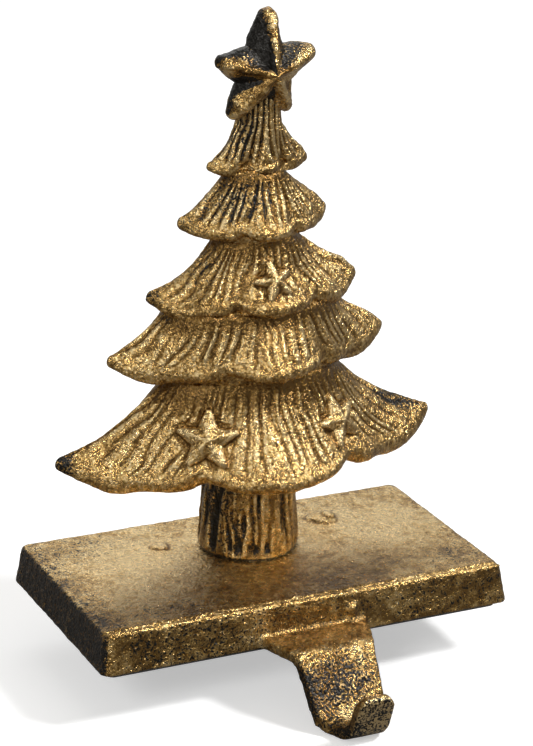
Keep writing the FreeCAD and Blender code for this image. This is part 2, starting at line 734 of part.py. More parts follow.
def star_solid(arms, waist, apex, tip_half, back=None):
    """A star in the XZ plane, ridged along its blunt arms, each given by its length and angle."""
    back = apex if back is None else back
    front_apex, back_apex = Vector(0, -apex, 0), Vector(0, back, 0)
    tip_front, tip_back = Vector(0, -tip_half, 0), Vector(0, min(back, tip_half), 0)
    faces = []

    def add_face(*corners):
        faces.append(Part.Face(Part.makePolygon(list(corners) + [corners[0]])))

    def direction(angle):
        return Vector(math.sin(math.radians(angle)), 0, math.cos(math.radians(angle)))

    for (_, before), (length, angle), (_, after) in zip(arms[-1:] + arms[:-1], arms, arms[1:] + arms[:1]):
        side = direction(angle + 90)
        tip = direction(angle) * length
        left, right = tip - side * tip_half, tip + side * tip_half
        waists = [direction(angle + turn) * waist for turn in (-((angle - before) % 360) / 2,
                                                               (after - angle) % 360 / 2)]
        for peak, end in ((front_apex, tip + tip_front), (back_apex, tip + tip_back)):
            add_face(peak, waists[0], left)
            add_face(peak, left, end)
            add_face(peak, end, right)
            add_face(peak, right, waists[1])
            add_face(left, end, right)
    solid = Part.makeSolid(Part.makeShell(faces))
    if solid.Volume < 0:
        solid.reverse()
    return solid


def make_star():
    """The star on top of the tree, with a raised middle in front and behind."""
    arms = [(size(f"star_arm{number}_length"), size(f"star_arm{number}_angle"))
            for number in range(1, len(ARMS) + 1)]
    star = star_solid(arms, size("star_waist_radius"), size("star_apex"), size("star_tip_half_width"))
    star.rotate(Vector(0, 0, 0), Vector(0, 0, 1), size("star_turn"))
    shape = add_shape("TopStar", star)
    shape.setExpression("Placement.Base.x", "Sizes.star_x")
    shape.setExpression("Placement.Base.y", "Sizes.star_y")
    shape.setExpression("Placement.Base.z", "Sizes.pad_thickness + Sizes.skirt5_neck_height + Sizes.top_rise"
                                              " + Sizes.star_above_top")
    return shape


def make_relief(number):
    """A small star in relief that lies on a skirt's slope, turned to face the way it does."""
    relief = {name: size(f"relief{number}_{name}") for name in RELIEF_NAMES}
    part, frame = skirt_frame(int(relief["skirt"]))
    middle = int(round(relief["round"] * len(frame) / 4)) % len(frame)

    def spot(step, share):
        return on_tree(*slope_point(part, frame[(middle + step) % len(frame)], relief["down"] + share))

    right = (spot(3, 0) - spot(-3, 0)).normalize()
    up = (spot(0, -0.12) - spot(0, 0.12)).normalize()
    inward = right.cross(up).normalize() * -1
    up = inward.cross(right).normalize() * -1
    if up.z < 0:
        up = up * -1
    turn = FreeCAD.Rotation(right, right.cross(up) * -1, up)
    spin = FreeCAD.Rotation(Vector(0, 1, 0), relief["turn"])
    arms = [(relief["arm"], 360 * arm / RELIEF_ARMS) for arm in range(RELIEF_ARMS)]
    star = star_solid(arms, relief["arm"] * size("relief_waist_ratio"), size("relief_apex"),
                      size("relief_tip_half_width"), size("relief_sunk"))
    shape = add_shape(f"Relief{number}", star)
    shape.Placement = FreeCAD.Placement(spot(0, 0), turn.multiply(spin))
    return shape


def add_shape(name, solid):
    """Put a solid made by code into the document."""
    feature = DOC.addObject("Part::Feature", name)
    feature.Shape = solid
    return feature


def make_tree():
    """The whole cast tree, fused, with the tapped hole for the screw in its foot."""
    cast = DOC.addObject("Part::MultiFuse", "TreeCasting")
    reliefs = [make_relief(number) for number in range(1, len(RELIEFS) + 1)]
    cast.Shapes = [make_branches(), make_star()] + reliefs
    cast.Refine = False
    hole = DOC.addObject("Part::Cylinder", "TappedHole")
    hole.setExpression("Radius", "Sizes.screw_radius + Sizes.thread_clearance")
    hole.setExpression("Height", "Sizes.screw_length - Sizes.washer_thickness - Sizes.screw_web"
                                 " + Sizes.tapped_spare")
    hole.setExpression("Placement.Base.x", "Sizes.trunk_x")
    hole.setExpression("Placement.Base.y", "Sizes.trunk_y")
    hole.setExpression("Placement.Base.z", "Sizes.pad_thickness + Sizes.plate_height")
    tree = DOC.addObject("Part::Cut", "Tree")
    tree.Base = cast
    tree.Tool = hole
    tree.Refine = False
    tree.Label = "tree"
    return tree


def write_parts(parts):
    """Check every object of the document, then write one STEP file for each piece."""
    DOC.recompute()
    for item in DOC.Objects:
        if "Invalid" in item.State or "Error" in item.State:
            raise RuntimeError(f"{item.Name} failed: {item.State}")
    os.makedirs("parts", exist_ok=True)
    for part in parts:
        shape = part.Shape
        if shape.isNull() or not shape.isValid():
            raise RuntimeError(f"{part.Label} has no valid shape")
        shape.exportStep(f"parts/{part.Label}.step")
        box = shape.BoundBox
        print(f"{part.Label}: {len(shape.Solids)} solid, {shape.Volume / 1000:.1f} cm3, "
              f"{box.XLength:.1f} x {box.YLength:.1f} x {box.ZLength:.1f} mm")


write_parts([make_base_plate(), make_tree(), make_screw(), make_washer(), make_pad()])
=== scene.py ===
"""Mantel stocking holder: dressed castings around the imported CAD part.

The trunk and the five skirts of the fir are dense cast skins, the star is a ridged
casting, and the plate with its hook is a remeshed copy of its CAD node. All of them
carry antique gold rubbed over black iron. Screw, washer and pad keep their CAD nodes.
"""

import itertools
import logging
import math
from dataclasses import dataclass
from enum import Enum

import bmesh
import bpy
import numpy as np
from mathutils import Matrix, Vector

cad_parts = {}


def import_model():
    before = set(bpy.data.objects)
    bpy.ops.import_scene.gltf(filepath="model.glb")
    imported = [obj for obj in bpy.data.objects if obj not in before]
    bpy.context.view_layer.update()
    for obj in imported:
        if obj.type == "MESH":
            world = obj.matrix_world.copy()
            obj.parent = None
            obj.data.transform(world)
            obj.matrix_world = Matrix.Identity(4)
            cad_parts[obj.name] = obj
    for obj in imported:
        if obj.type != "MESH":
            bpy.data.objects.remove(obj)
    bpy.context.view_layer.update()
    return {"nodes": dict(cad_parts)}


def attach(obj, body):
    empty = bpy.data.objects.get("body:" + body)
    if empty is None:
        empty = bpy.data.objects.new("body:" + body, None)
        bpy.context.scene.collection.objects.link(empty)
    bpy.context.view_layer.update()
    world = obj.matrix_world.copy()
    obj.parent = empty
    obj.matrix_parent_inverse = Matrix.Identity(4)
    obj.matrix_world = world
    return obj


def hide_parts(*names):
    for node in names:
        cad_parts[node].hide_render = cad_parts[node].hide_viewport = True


LOG = logging.getLogger("stocking_holder")
MM = 0.001

# Heights in mm above the pad's lower face, and the trunk's middle on the plate.
PAD_TOP = 1.5
PLATE_TOP = 13.7
TREE_X = 0.8
TREE_Y = 10.6

# How far the tree reaches back, as a share of how far it reaches forward.
BACK_RATIO = 0.86

# Angle in degrees round a lip where the slope takes over from it.
LIP_CROWN_ANGLE = 55.0

# Power that crowds a slope's rows towards its lip.
ROW_CROWDING = 0.9

# Cell and height in mm of each layer of sand grain on the fir, the star and the plate.
FIR_GRAIN = ((7.0, 0.28), (2.6, 0.13), (1.3, 0.10), (0.7, 0.06))
STAR_GRAIN = ((5.0, 0.5), (2.0, 0.22), (0.9, 0.10))
PLATE_GRAIN = ((9.0, 0.12), (2.4, 0.08), (1.3, 0.12))

# A place, a direction or a colour.
Triple = tuple[float, float, float]

# Large whole numbers that scatter the values of neighbouring noise cells.
CELL_STEPS = (73856093, 19349663, 83492791)
SEED_STEP = 265443576
SCATTER = 1274126177


class Slot(Enum):
    """Material slots of the record."""

    GOLD = "antique_gold_iron"
    STEEL = "screw_steel"
    RUBBER = "pad_rubber"


def smooth_step(low: float, high: float, value: np.ndarray) -> np.ndarray:
    """Ease from 0 to 1.

    Args:
        low: value where the result starts to leave 0.
        high: value where the result reaches 1.
        value: the values to ease.

    Returns:
        The eased values, from 0 to 1.
    """
    share = np.clip((value - low) / (high - low), 0.0, 1.0)
    return share * share * (3.0 - 2.0 * share)


def bell(value: np.ndarray, middle: float | np.ndarray, width: float) -> np.ndarray:
    """Smooth hump of height 1.

    Args:
        value: the values.
        middle: where the hump is highest.
        width: how far out it falls to about a third.

    Returns:
        The hump at each value.
    """
    return np.exp(-((value - middle) / width) ** 2)


def unit(vectors: np.ndarray) -> np.ndarray:
    """Scale vectors to length 1.

    Args:
        vectors: vectors along the last axis.

    Returns:
        The unit vectors.
    """
    length = np.linalg.norm(vectors, axis=-1, keepdims=True)
    return vectors / np.maximum(length, 1e-9)


@dataclass(frozen=True)
class CastNoise:
    """Smooth seeded lumps in space, as sand leaves them on a casting."""

    cell: float
    depth: float
    seed: int

    def at(self, points: np.ndarray) -> np.ndarray:
        """Height of the lumps.

        Args:
            points: places in mm, three coordinates along the last axis.

        Returns:
            Heights in mm, one for each point.
        """
        flat = points.reshape(-1, 3) / self.cell
        base = np.floor(flat).astype(np.int64)
        share = flat - base
        share = share * share * (3 - 2 * share)
        total = np.zeros(len(flat))
        for corner in itertools.product((0, 1), repeat=3):
            step = np.array(corner)
            weight = np.prod(np.where(step, share, 1 - share), axis=1)
            total += weight * self._mix(base + step)
        return (self.depth * total).reshape(points.shape[:-1])

    def _mix(self, cells: np.ndarray) -> np.ndarray:
        """Fixed value of each cell corner.

        Args:
            cells: whole cell numbers.

        Returns:
            Values from -1 to 1.
        """
        mixed = (cells * np.array(CELL_STEPS)).sum(axis=1) + self.seed * SEED_STEP
        mixed ^= mixed >> 13
        mixed *= SCATTER
        mixed ^= mixed >> 16
        return (mixed & 0xFFFF) / 32767.5 - 1


def sand_grain(points: np.ndarray, layers: tuple[tuple[float, float], ...], seed: int) -> np.ndarray:
    """Sand grain made of lumps of several sizes.

    Args:
        points: places in mm.
        layers: cell and height in mm of each layer of lumps.
        seed: seed of the grain.

    Returns:
        Heights in mm, one for each point.
    """
    grain = np.zeros(points.shape[:-1])
    for cell, depth in layers:
        grain += CastNoise(cell, depth, seed + int(cell * 10)).at(points)
    return grain


@dataclass(frozen=True)
class SoftPatch:
    """A soft-edged place where a field of the finish is raised: its blackness or its tone."""

    centre: Triple
    reach: Triple
    strength: float

    def at(self, points: np.ndarray) -> np.ndarray:
        """What the patch adds.

        Args:
            points: places in mm.

        Returns:
            What it adds at each point, falling off smoothly from the centre.
        """
        offset = (points - np.array(self.centre)) / np.array(self.reach)
        return self.strength * np.exp(-np.sum(offset * offset, axis=-1))


def patches_at(patches: tuple[SoftPatch, ...], points: np.ndarray) -> np.ndarray:
    """What several patches add together.

    Args:
        patches: the patches.
        points: places in mm.

    Returns:
        The sum of what they add at each point.
    """
    total = np.zeros(points.shape[:-1])
    for patch in patches:
        total += patch.at(points)
    return total


@dataclass
class CastMesh:
    """A mesh of a casting with the fields that drive its finish.

    The field black says how little gold a point got, and under the skirts painted shade; cavity how deep in
    a hollow it lies, and tone how pale or, below 0, how warm its gold is, lowered as painted shade under
    the lips.
    """

    name: str
    points: np.ndarray
    faces: list[tuple[int, ...]]
    black: np.ndarray
    cavity: np.ndarray
    tone: np.ndarray

    def build(self) -> bpy.types.Object:
        """Make the object.

        Returns:
            A smooth shaded object with the attributes black, cavity and tone.
        """
        mesh = bpy.data.meshes.new(self.name)
        mesh.from_pydata((self.points * MM).tolist(), [], self.faces)
        mesh.validate()
        mesh.polygons.foreach_set("use_smooth", [True] * len(mesh.polygons))
        for label, values in (("black", self.black), ("cavity", self.cavity), ("tone", self.tone)):
            attribute = mesh.attributes.new(label, "FLOAT", "POINT")
            attribute.data.foreach_set("value", np.asarray(values, dtype=np.float32))
        built = bpy.data.objects.new(self.name, mesh)
        bpy.context.scene.collection.objects.link(built)
        return built


def grid_normals(rows: np.ndarray) -> np.ndarray:
    """Outward directions of a skin of closed rings.

    Args:
        rows: rings from the foot up, each running from the front towards +X.

    Returns:
        Unit normals, one for each point.
    """
    around = np.roll(rows, -1, axis=1) - np.roll(rows, 1, axis=1)
    along = np.gradient(rows, axis=0)
    return unit(np.cross(around, along))


def grid_blur(values: np.ndarray, rows: int, columns: int) -> np.ndarray:
    """Average a field over its neighbours on a closed skin.

    Args:
        values: one value for each row and column.
        rows: neighbours on each side along a column.
        columns: neighbours on each side round a ring.

    Returns:
        The averaged field.
    """
    total = sum(np.roll(values, step, axis=1) for step in range(-columns, columns + 1)) / (2 * columns + 1)
    padded = np.pad(total, ((rows, rows), (0, 0)), mode="edge")
    summed = sum(padded[step:step + len(values)] for step in range(2 * rows + 1))
    return summed / (2 * rows + 1)


def skin_faces(row_count: int, column_count: int) -> list[tuple[int, ...]]:
    """Faces of a closed skin whose last two points close its two ends.

    Args:
        row_count: number of rings.
        column_count: points in each ring.

    Returns:
        Point numbers of each face.
    """
    faces: list[tuple[int, ...]] = []
    for row in range(row_count - 1):
        low, high = row * column_count, (row + 1) * column_count
        for column in range(column_count):
            after = (column + 1) % column_count
            faces.append((low + column, low + after, high + after, high + column))
    foot = row_count * column_count
    last = (row_count - 1) * column_count
    for column in range(column_count):
        after = (column + 1) % column_count
        faces.append((foot, after, column))
        faces.append((foot + 1, last + column, last + after))
    return faces


def spread_evenly(outline: np.ndarray, count: int) -> np.ndarray:
    """Points at equal distances within each quarter of a closed outline.

    Args:
        outline: points of the outline from the front round.
        count: number of points wanted, a multiple of four.

    Returns:
        The spread points.
    """
    quarter = len(outline) // 4
    closed = np.vstack([outline, outline[:1]])
    points = []
    for first in range(0, len(outline), quarter):
        arc = closed[first:first + quarter + 1]
        reach = np.concatenate([[0.0], np.cumsum(np.linalg.norm(np.diff(arc, axis=0), axis=1))])
        wanted = np.linspace(0, reach[-1], count // 4 + 1)[:-1]
        points.append(np.stack([np.interp(wanted, reach, arc[:, axis]) for axis in (0, 1)], axis=1))
    return np.vstack(points)


def closed_skin(name: str, rows: np.ndarray, moved: np.ndarray, fields: tuple[np.ndarray, ...],
                end_black: float) -> bpy.types.Object:
    """Make a casting from closed rings, with a point in the middle of each end.

    Args:
        name: name of the piece.
        rows: smooth rings in mm, whose ends give the two closing points.
        moved: the same rings with their relief.
        fields: black, cavity and tone of each point of the rings.
        end_black: black of the two closing points.

    Returns:
        The finished object.
    """
    ends = np.array([rows[0].mean(axis=0), rows[-1].mean(axis=0)])
    black, cavity, tone = (np.concatenate([values.reshape(-1), [end, end]])
                           for values, end in zip(fields, (end_black, 0.0, 0.0)))
    points = np.vstack([moved.reshape(-1, 3), ends])
    return CastMesh(name, points, skin_faces(rows.shape[0], rows.shape[1]), black, cavity, tone).build()


def cast_skin(name: str, rows: np.ndarray, height: np.ndarray, ridges: np.ndarray, black: np.ndarray,
              recess_shade_and_patina: np.ndarray, seed: int) -> bpy.types.Object:
    """Raise a skin by its surface form and sand grain and make the object.

    Args:
        name: name of the piece.
        rows: smooth rings in mm.
        height: surface form in mm along the normals.
        ridges: how deep in a groove each point is, from 0 to 1.
        black: how little gold each point got, and in places painted shade.
        recess_shade_and_patina: how far each point lies back under an overhang, from 0 to 1; it darkens the
            gold there as painted shade with darker patina.
        seed: seed of the grain.

    Returns:
        The finished object.
    """
    whole = height + sand_grain(rows, FIR_GRAIN, seed)
    cavity = np.clip((grid_blur(whole, 3, 3) - whole) / 0.22, -1, 1)
    cavity = np.clip(cavity * 0.7 + ridges * 0.5, -1, 1)
    # Painted shade with patina: points under an overhang and in the bark grooves get browner and blacker
    # gold.
    tone = CastNoise(14.0, 0.4, seed + 5).at(rows) - 1.5 * recess_shade_and_patina
    moved = rows + grid_normals(rows) * whole[..., None]
    return closed_skin(name, rows, moved, (black + 0.12 * recess_shade_and_patina, cavity, tone), end_black=1.0)


@dataclass(frozen=True)
class ReliefStar:
    """A small five-pointed star raised on a skirt's slope."""

    around: float
    down: float
    arm: float
    turn: float
    rise: float
    waist: float = 0.46
    blunt: float = 0.86
    moat_depth: float = 0.55
    moat_width: float = 1.3

    def height(self, rows: np.ndarray, normals: np.ndarray, slope: slice) -> tuple[np.ndarray, np.ndarray]:
        """Height of the star on a skirt's skin.

        Args:
            rows: rings of the skin in mm.
            normals: outward directions of the skin.
            slope: the rows of the slope, from the lip to the neck.

        Returns:
            The star's height at each point and a mask of the places it covers.
        """
        row = slope.start + int(round((1 - self.down) * (slope.stop - slope.start - 1)))
        column = int(round(self.around * rows.shape[1])) % rows.shape[1]
        centre, normal = rows[row, column], unit(normals[row, column])
        up = unit(np.array([0.0, 0.0, 1.0]) - normal * normal[2])
        right = np.cross(up, normal)
        offset = rows - centre
        across, along, lift = offset @ right, offset @ up, np.abs(offset @ normal)
        distance = np.hypot(across, along)
        angle = np.arctan2(across, along) - math.radians(self.turn)
        fifth = 2 * math.pi / 5
        local = np.abs((angle + fifth / 2) % fifth - fifth / 2)
        edge_x = self.waist * math.sin(fifth / 2)
        edge_y = self.waist * math.cos(fifth / 2)
        boundary = edge_x / (edge_x * np.cos(local) + (1 - edge_y) * np.sin(local))
        boundary = np.minimum(boundary, self.blunt)
        share = distance / (self.arm * boundary)
        near = (lift < self.arm * 0.8) & (distance < self.arm * 1.6)
        body = np.where(near, np.clip(1 - share, 0, 1), 0)
        moat = np.where(near, bell(distance, self.arm * boundary * 1.12, self.moat_width), 0)
        moat = moat * smooth_step(0.25, 0.6, local / (fifth / 2))
        cover = np.where(near, smooth_step(1.25, 0.95, share), 0)
        edge = np.where(near, smooth_step(1.04, 0.90, share), 0)
        return self.rise * (0.30 * edge + 0.70 * body) - self.moat_depth * moat, cover


@dataclass(frozen=True)
class Skirt:
    """One skirt of branches. Sizes in mm, heights above the plate's underside."""

    name: str
    half_span: float
    shift: float
    depth: float
    tip_height: float
    droop: float
    side_droop: float
    bulge: float
    left_notch: float
    right_notch: float
    lip_radius: float
    neck_half_span: float
    neck_depth: float
    neck_height: float
    flare: float
    needles: int
    needle_depth: float
    seed: int
    reliefs: tuple[ReliefStar, ...] = ()
    patches: tuple[SoftPatch, ...] = ()
    top_half_span: float = 0.0
    top_rise: float = 0.0
    tuck: float = 2.0
    tuck_narrowing: float = 0.85
    underside_arch: float = 1.6
    underside_flatness: float = 0.82
    notch_depth: float = 0.13
    notch_rise: float = 0.55
    notch_width: float = 0.09
    swell: float = 0.16
    left_swell_gain: float = -0.5
    right_swell_gain: float = 0.8
    fine_share: float = 0.22
    wander_waves: tuple[int, ...] = (7, 13, 23, 37)
    cell: float = 0.42

    def _notch(self, across: np.ndarray) -> np.ndarray:
        """Depth in the notch between two lobes.

        Args:
            across: place across the skirt as a share of its half span.

        Returns:
            Values from 0 to 1.
        """
        place = np.where(across < 0, self.left_notch, self.right_notch)
        return bell(np.abs(across), place, self.notch_width)

    def lip_outline(self) -> np.ndarray:
        """Middle of the lip seen from above.

        Returns:
            Points of the outline from the front round.
        """
        turn = np.arange(7200) / 7200 * 2 * math.pi
        across = np.sin(turn)
        fullness = (1 - np.abs(across) ** 1.24) ** 0.85 * (1 - self.notch_depth * self._notch(across))
        fullness += self.bulge * bell(np.abs(across), 0.64, 0.15)
        reach = (self.depth - self.lip_radius) * np.where(np.cos(turn) > 0, 1.0, BACK_RATIO)
        half = self.half_span - self.lip_radius
        return np.stack([half * across, -np.copysign(reach * fullness, np.cos(turn))], axis=1)

    def neck_outline(self) -> np.ndarray:
        """The neck seen from above.

        Returns:
            Points of the outline from the front round.
        """
        return oval(self.neck_half_span, self.neck_depth)

    def columns(self) -> int:
        """Number of points in each ring.

        Returns:
            A multiple of four that keeps the cell size at the lip.
        """
        outline = self.lip_outline()
        length = np.linalg.norm(np.roll(outline, -1, axis=0) - outline, axis=1).sum()
        return 4 * int(round(length / self.cell / 4))

    def rings(self, root: np.ndarray) -> tuple[np.ndarray, slice, np.ndarray]:
        """Smooth rings from the root under the lip and up the slope to the neck.

        Args:
            root: the ring in mm that the underside starts from.

        Returns:
            The rings, the rows of the slope and the place across of each column.
        """
        lip = spread_evenly(self.lip_outline(), len(root))
        neck = spread_evenly(self.neck_outline(), len(root))
        across = lip[:, 0] / (self.half_span - self.lip_radius)
        sag = self.droop * (1 - self.notch_rise * self._notch(across))
        sag += self.side_droop * bell(np.abs(across), 0.8, 0.15)
        sag *= 1 - np.abs(across) ** 7
        outward = unit(lip - neck)
        origin = np.array([TREE_X + self.shift, TREE_Y])
        lip_z = PAD_TOP + self.tip_height - sag
        arc = []
        for angle in np.radians(np.linspace(-90, LIP_CROWN_ANGLE - 5, 13)):
            flat = origin + lip + outward * self.lip_radius * math.cos(angle)
            lift = self.lip_radius * math.sin(angle) * (self.underside_flatness if angle < 0 else 1.0)
            arc.append(np.column_stack([flat, lip_z + lift]))
        under = []
        for share in np.linspace(0, 1, 10)[:-1]:
            ring = root + (arc[0] - root) * share
            ring[:, 2] += self.underside_arch * math.sin(math.pi * share)
            under.append(ring)
        run = math.hypot(self.depth - self.neck_depth, self.neck_height - self.tip_height + self.droop)
        steps = int(round(max(run, 14.0) / self.cell * 1.15))
        slope = []
        crown = math.radians(LIP_CROWN_ANGLE)
        edge = lip + outward * self.lip_radius * math.cos(crown)
        top = lip_z + self.lip_radius * math.sin(crown)
        neck_z = PAD_TOP + self.neck_height
        gain = np.where(across < 0, self.left_swell_gain, self.right_swell_gain)
        swell = self.swell * (1 + gain * np.abs(across) ** 3)
        for share in np.linspace(1, 0, steps) ** ROW_CROWDING:
            fall = (1 - swell) * (1 - (1 - share) ** self.flare) + swell * share ** 5
            flat = origin + neck + (edge - neck) * share
            slope.append(np.column_stack([flat, neck_z + (top - neck_z) * fall]))
        stub = []
        rise = self.top_rise or self.tuck
        narrowing = self.top_half_span / self.neck_half_span if self.top_rise else self.tuck_narrowing
        for share in np.linspace(0, 1, int(rise / self.cell) + 1)[1:]:
            flat = origin + neck * (1 + (narrowing - 1) * share)
            stub.append(np.column_stack([flat, np.full(len(flat), neck_z + rise * share)]))
        rows = np.array(under + arc + slope + stub)
        return rows, slice(len(under) + len(arc), len(rows) - len(stub)), across

    def build(self, root: np.ndarray) -> bpy.types.Object:
        """Make the skirt.

        Args:
            root: the ring in mm that the underside starts from.

        Returns:
            The finished piece.
        """
        rows, slope, across = self.rings(root)
        normals = grid_normals(rows)
        down = np.zeros(len(rows))
        down[:slope.start] = 1.0
        down[slope] = np.linspace(1, 0, slope.stop - slope.start) ** ROW_CROWDING
        # Painted shade: the top of the slope, under the lip of the skirt above, gets darker gold.
        recess_shade_and_patina = np.zeros(rows.shape[:2])
        if self.top_rise:
            down = np.maximum(down, 0.2)
        else:
            recess_shade_and_patina += smooth_step(0.34, 0.04, down)[:, None]
        ridge, groove = self._needles(down, across, slope, CastNoise(8.0, 0.45, self.seed + 2).at(rows))
        lumps = 0.85 + CastNoise(4.5, 0.5, self.seed + 3).at(rows)
        ridge, groove = ridge * lumps, groove * np.clip(lumps, 0, 1)
        relief = np.zeros(rows.shape[:2])
        cover = np.zeros(rows.shape[:2])
        for star in self.reliefs:
            raised, covered = star.height(rows, normals, slope)
            relief += raised
            cover = np.maximum(cover, covered)
        height = ridge * (1 - cover) + relief
        groove = groove * (1 - cover)
        rubbed = smooth_step(0.8, 0.95, down)[:, None] * smooth_step(0.85, 0.7, np.abs(across))[None, :]
        # The patches give black iron, and on each skirt's underside painted shade with dark patina.
        black = patches_at(self.patches, rows) * (0.6 + 1.2 * groove) * (1 - 0.8 * rubbed)
        return cast_skin(self.name, rows, height, groove, black, recess_shade_and_patina, self.seed)

    def _needles(self, down: np.ndarray, across: np.ndarray, slope: slice,
                 stray: np.ndarray) -> tuple[np.ndarray, np.ndarray]:
        """Ridges of the needles.

        Args:
            down: share of the slope of each row, 1 at the lip.
            across: place across of each column.
            slope: the rows of the slope.
            stray: how far each point's ridge strays aside, in ridges.

        Returns:
            Ridge height in mm and groove depth from 0 to 1.
        """
        rng = np.random.default_rng(self.seed)
        turn = np.arange(len(across)) / len(across)
        side = smooth_step(0.45, 0.75, np.abs(across))[None, :]
        ridge, groove = self._ridge_set(rng, turn, down, self.needles, stray)
        fine_ridge, fine_groove = self._ridge_set(rng, turn, down, 2 * self.needles + 3, 2 * stray)
        ridge = ridge * (1 - 0.25 * side) + self.fine_share * fine_ridge * (1 - side)
        groove = np.clip(groove + self.fine_share * fine_groove * (1 - side), 0, 1) * (1 - 0.3 * side)
        ridge[:slope.start], groove[:slope.start] = 0, 0
        return self.needle_depth * ridge, groove

    def _ridge_set(self, rng: np.random.Generator, turn: np.ndarray, down: np.ndarray,
                   count: int, stray: np.ndarray) -> tuple[np.ndarray, np.ndarray]:
        """One set of ridges that wander and end unevenly.

        Args:
            rng: source of the unevenness.
            turn: place round the ring of each column, from 0 to 1.
            down: share of the slope of each row, 1 at the lip.
            count: number of ridges all round.
            stray: how far each point's ridge strays aside, in ridges.

        Returns:
            Ridge height from about -0.6 to 0.4 and groove depth from 0 to 1.
        """
        wander = 0
        for wave in self.wander_waves:
            swing = 0.2 * count / (2 * math.pi * wave)
            wander = wander + swing * np.sin(2 * math.pi * (turn * wave + rng.uniform()))
        bend = 0.5 * np.sin(2 * math.pi * (turn * 9 + rng.uniform()))
        phase = (turn * count + wander)[None, :] + bend[None, :] * (down[:, None] - 0.5) + stray
        index = np.floor(phase + 0.5).astype(int)
        tall = rng.uniform(0.35, 1.0, count + 8)[index % (count + 8)]
        ends = rng.uniform(0.80, 1.0, count + 8)[index % (count + 8)]
        profile = np.abs(np.cos(math.pi * (phase - index))) ** 0.8
        reach = smooth_step(0.0, 0.14, down)[:, None] * (1 - smooth_step(-0.09, 0.05, down[:, None] - ends))
        return reach * tall * (profile - 0.62), reach * smooth_step(0.6, 0.1, profile) * tall


def oval(half_span: float, depth: float) -> np.ndarray:
    """A plain oval from above, flatter behind.

    Args:
        half_span: half of its width.
        depth: how far it reaches forward.

    Returns:
        Points of the outline from the front round.
    """
    turn = np.arange(3600) / 3600 * 2 * math.pi
    reach = np.where(np.cos(turn) > 0, depth, depth * BACK_RATIO)
    return np.stack([half_span * np.sin(turn), -reach * np.cos(turn)], axis=1)


@dataclass(frozen=True)
class Trunk:
    """The round trunk with its bark grooves. Sizes in mm."""

    foot_radius: float = 15.1
    belly_radius: float = 15.8
    top_radius: float = 13.6
    height: float = 31.0
    groove_depth: float = 0.95
    cell: float = 0.42
    seed: int = 11

    def rings(self) -> np.ndarray:
        """Smooth rings from the foot up.

        Returns:
            The rings in mm.
        """
        count = 4 * int(round(2 * math.pi * self.belly_radius / self.cell / 4))
        turn = np.arange(count) / count * 2 * math.pi
        rows = []
        for share in np.linspace(0, 1, int(self.height / self.cell)):
            belly = self.belly_radius + (self.top_radius - self.belly_radius) * share
            radius = belly - (self.belly_radius - self.foot_radius) * math.exp(-share / 0.025)
            flat = np.column_stack([TREE_X + radius * np.sin(turn), TREE_Y - radius * np.cos(turn)])
            rows.append(np.column_stack([flat, np.full(count, PLATE_TOP + share * self.height)]))
        return np.array(rows)

    def build(self) -> bpy.types.Object:
        """Make the trunk.

        Returns:
            The finished piece.
        """
        rows = self.rings()
        squeezed = rows * np.array([1.0, 1.0, 0.14])
        bark = CastNoise(2.0, 1.0, self.seed).at(squeezed)
        bark = bark + 0.7 * CastNoise(1.1, 1.0, self.seed + 1).at(squeezed)
        rise = (rows[..., 2] - PLATE_TOP) / self.height
        reach = smooth_step(0.03, 0.12, rise)
        groove = smooth_step(0.05, 0.75, -bark) * reach
        height = -self.groove_depth * groove + 0.25 * smooth_step(0.0, 0.8, bark) * reach
        patches = (
            SoftPatch((TREE_X - 17.0, TREE_Y - 7.0, 34.0), (10.0, 12.0, 26.0), 0.50),
            # Painted shade: the top of the trunk under the lowest skirt is blackened.
            SoftPatch((TREE_X, TREE_Y, 44.0), (30.0, 30.0, 6.0), 0.45),
            SoftPatch((TREE_X, TREE_Y, PLATE_TOP), (40.0, 40.0, 0.7), 1.2),
        )
        black = patches_at(patches, rows) + 0.15 + 0.46 * groove
        # Painted shade with patina: the gold is darker in the bark grooves.
        recess_shade_and_patina = 0.3 * (1 - smooth_step(0.0, 0.9, bark))
        return cast_skin("fir_trunk", rows, height, groove, black, recess_shade_and_patina, self.seed)


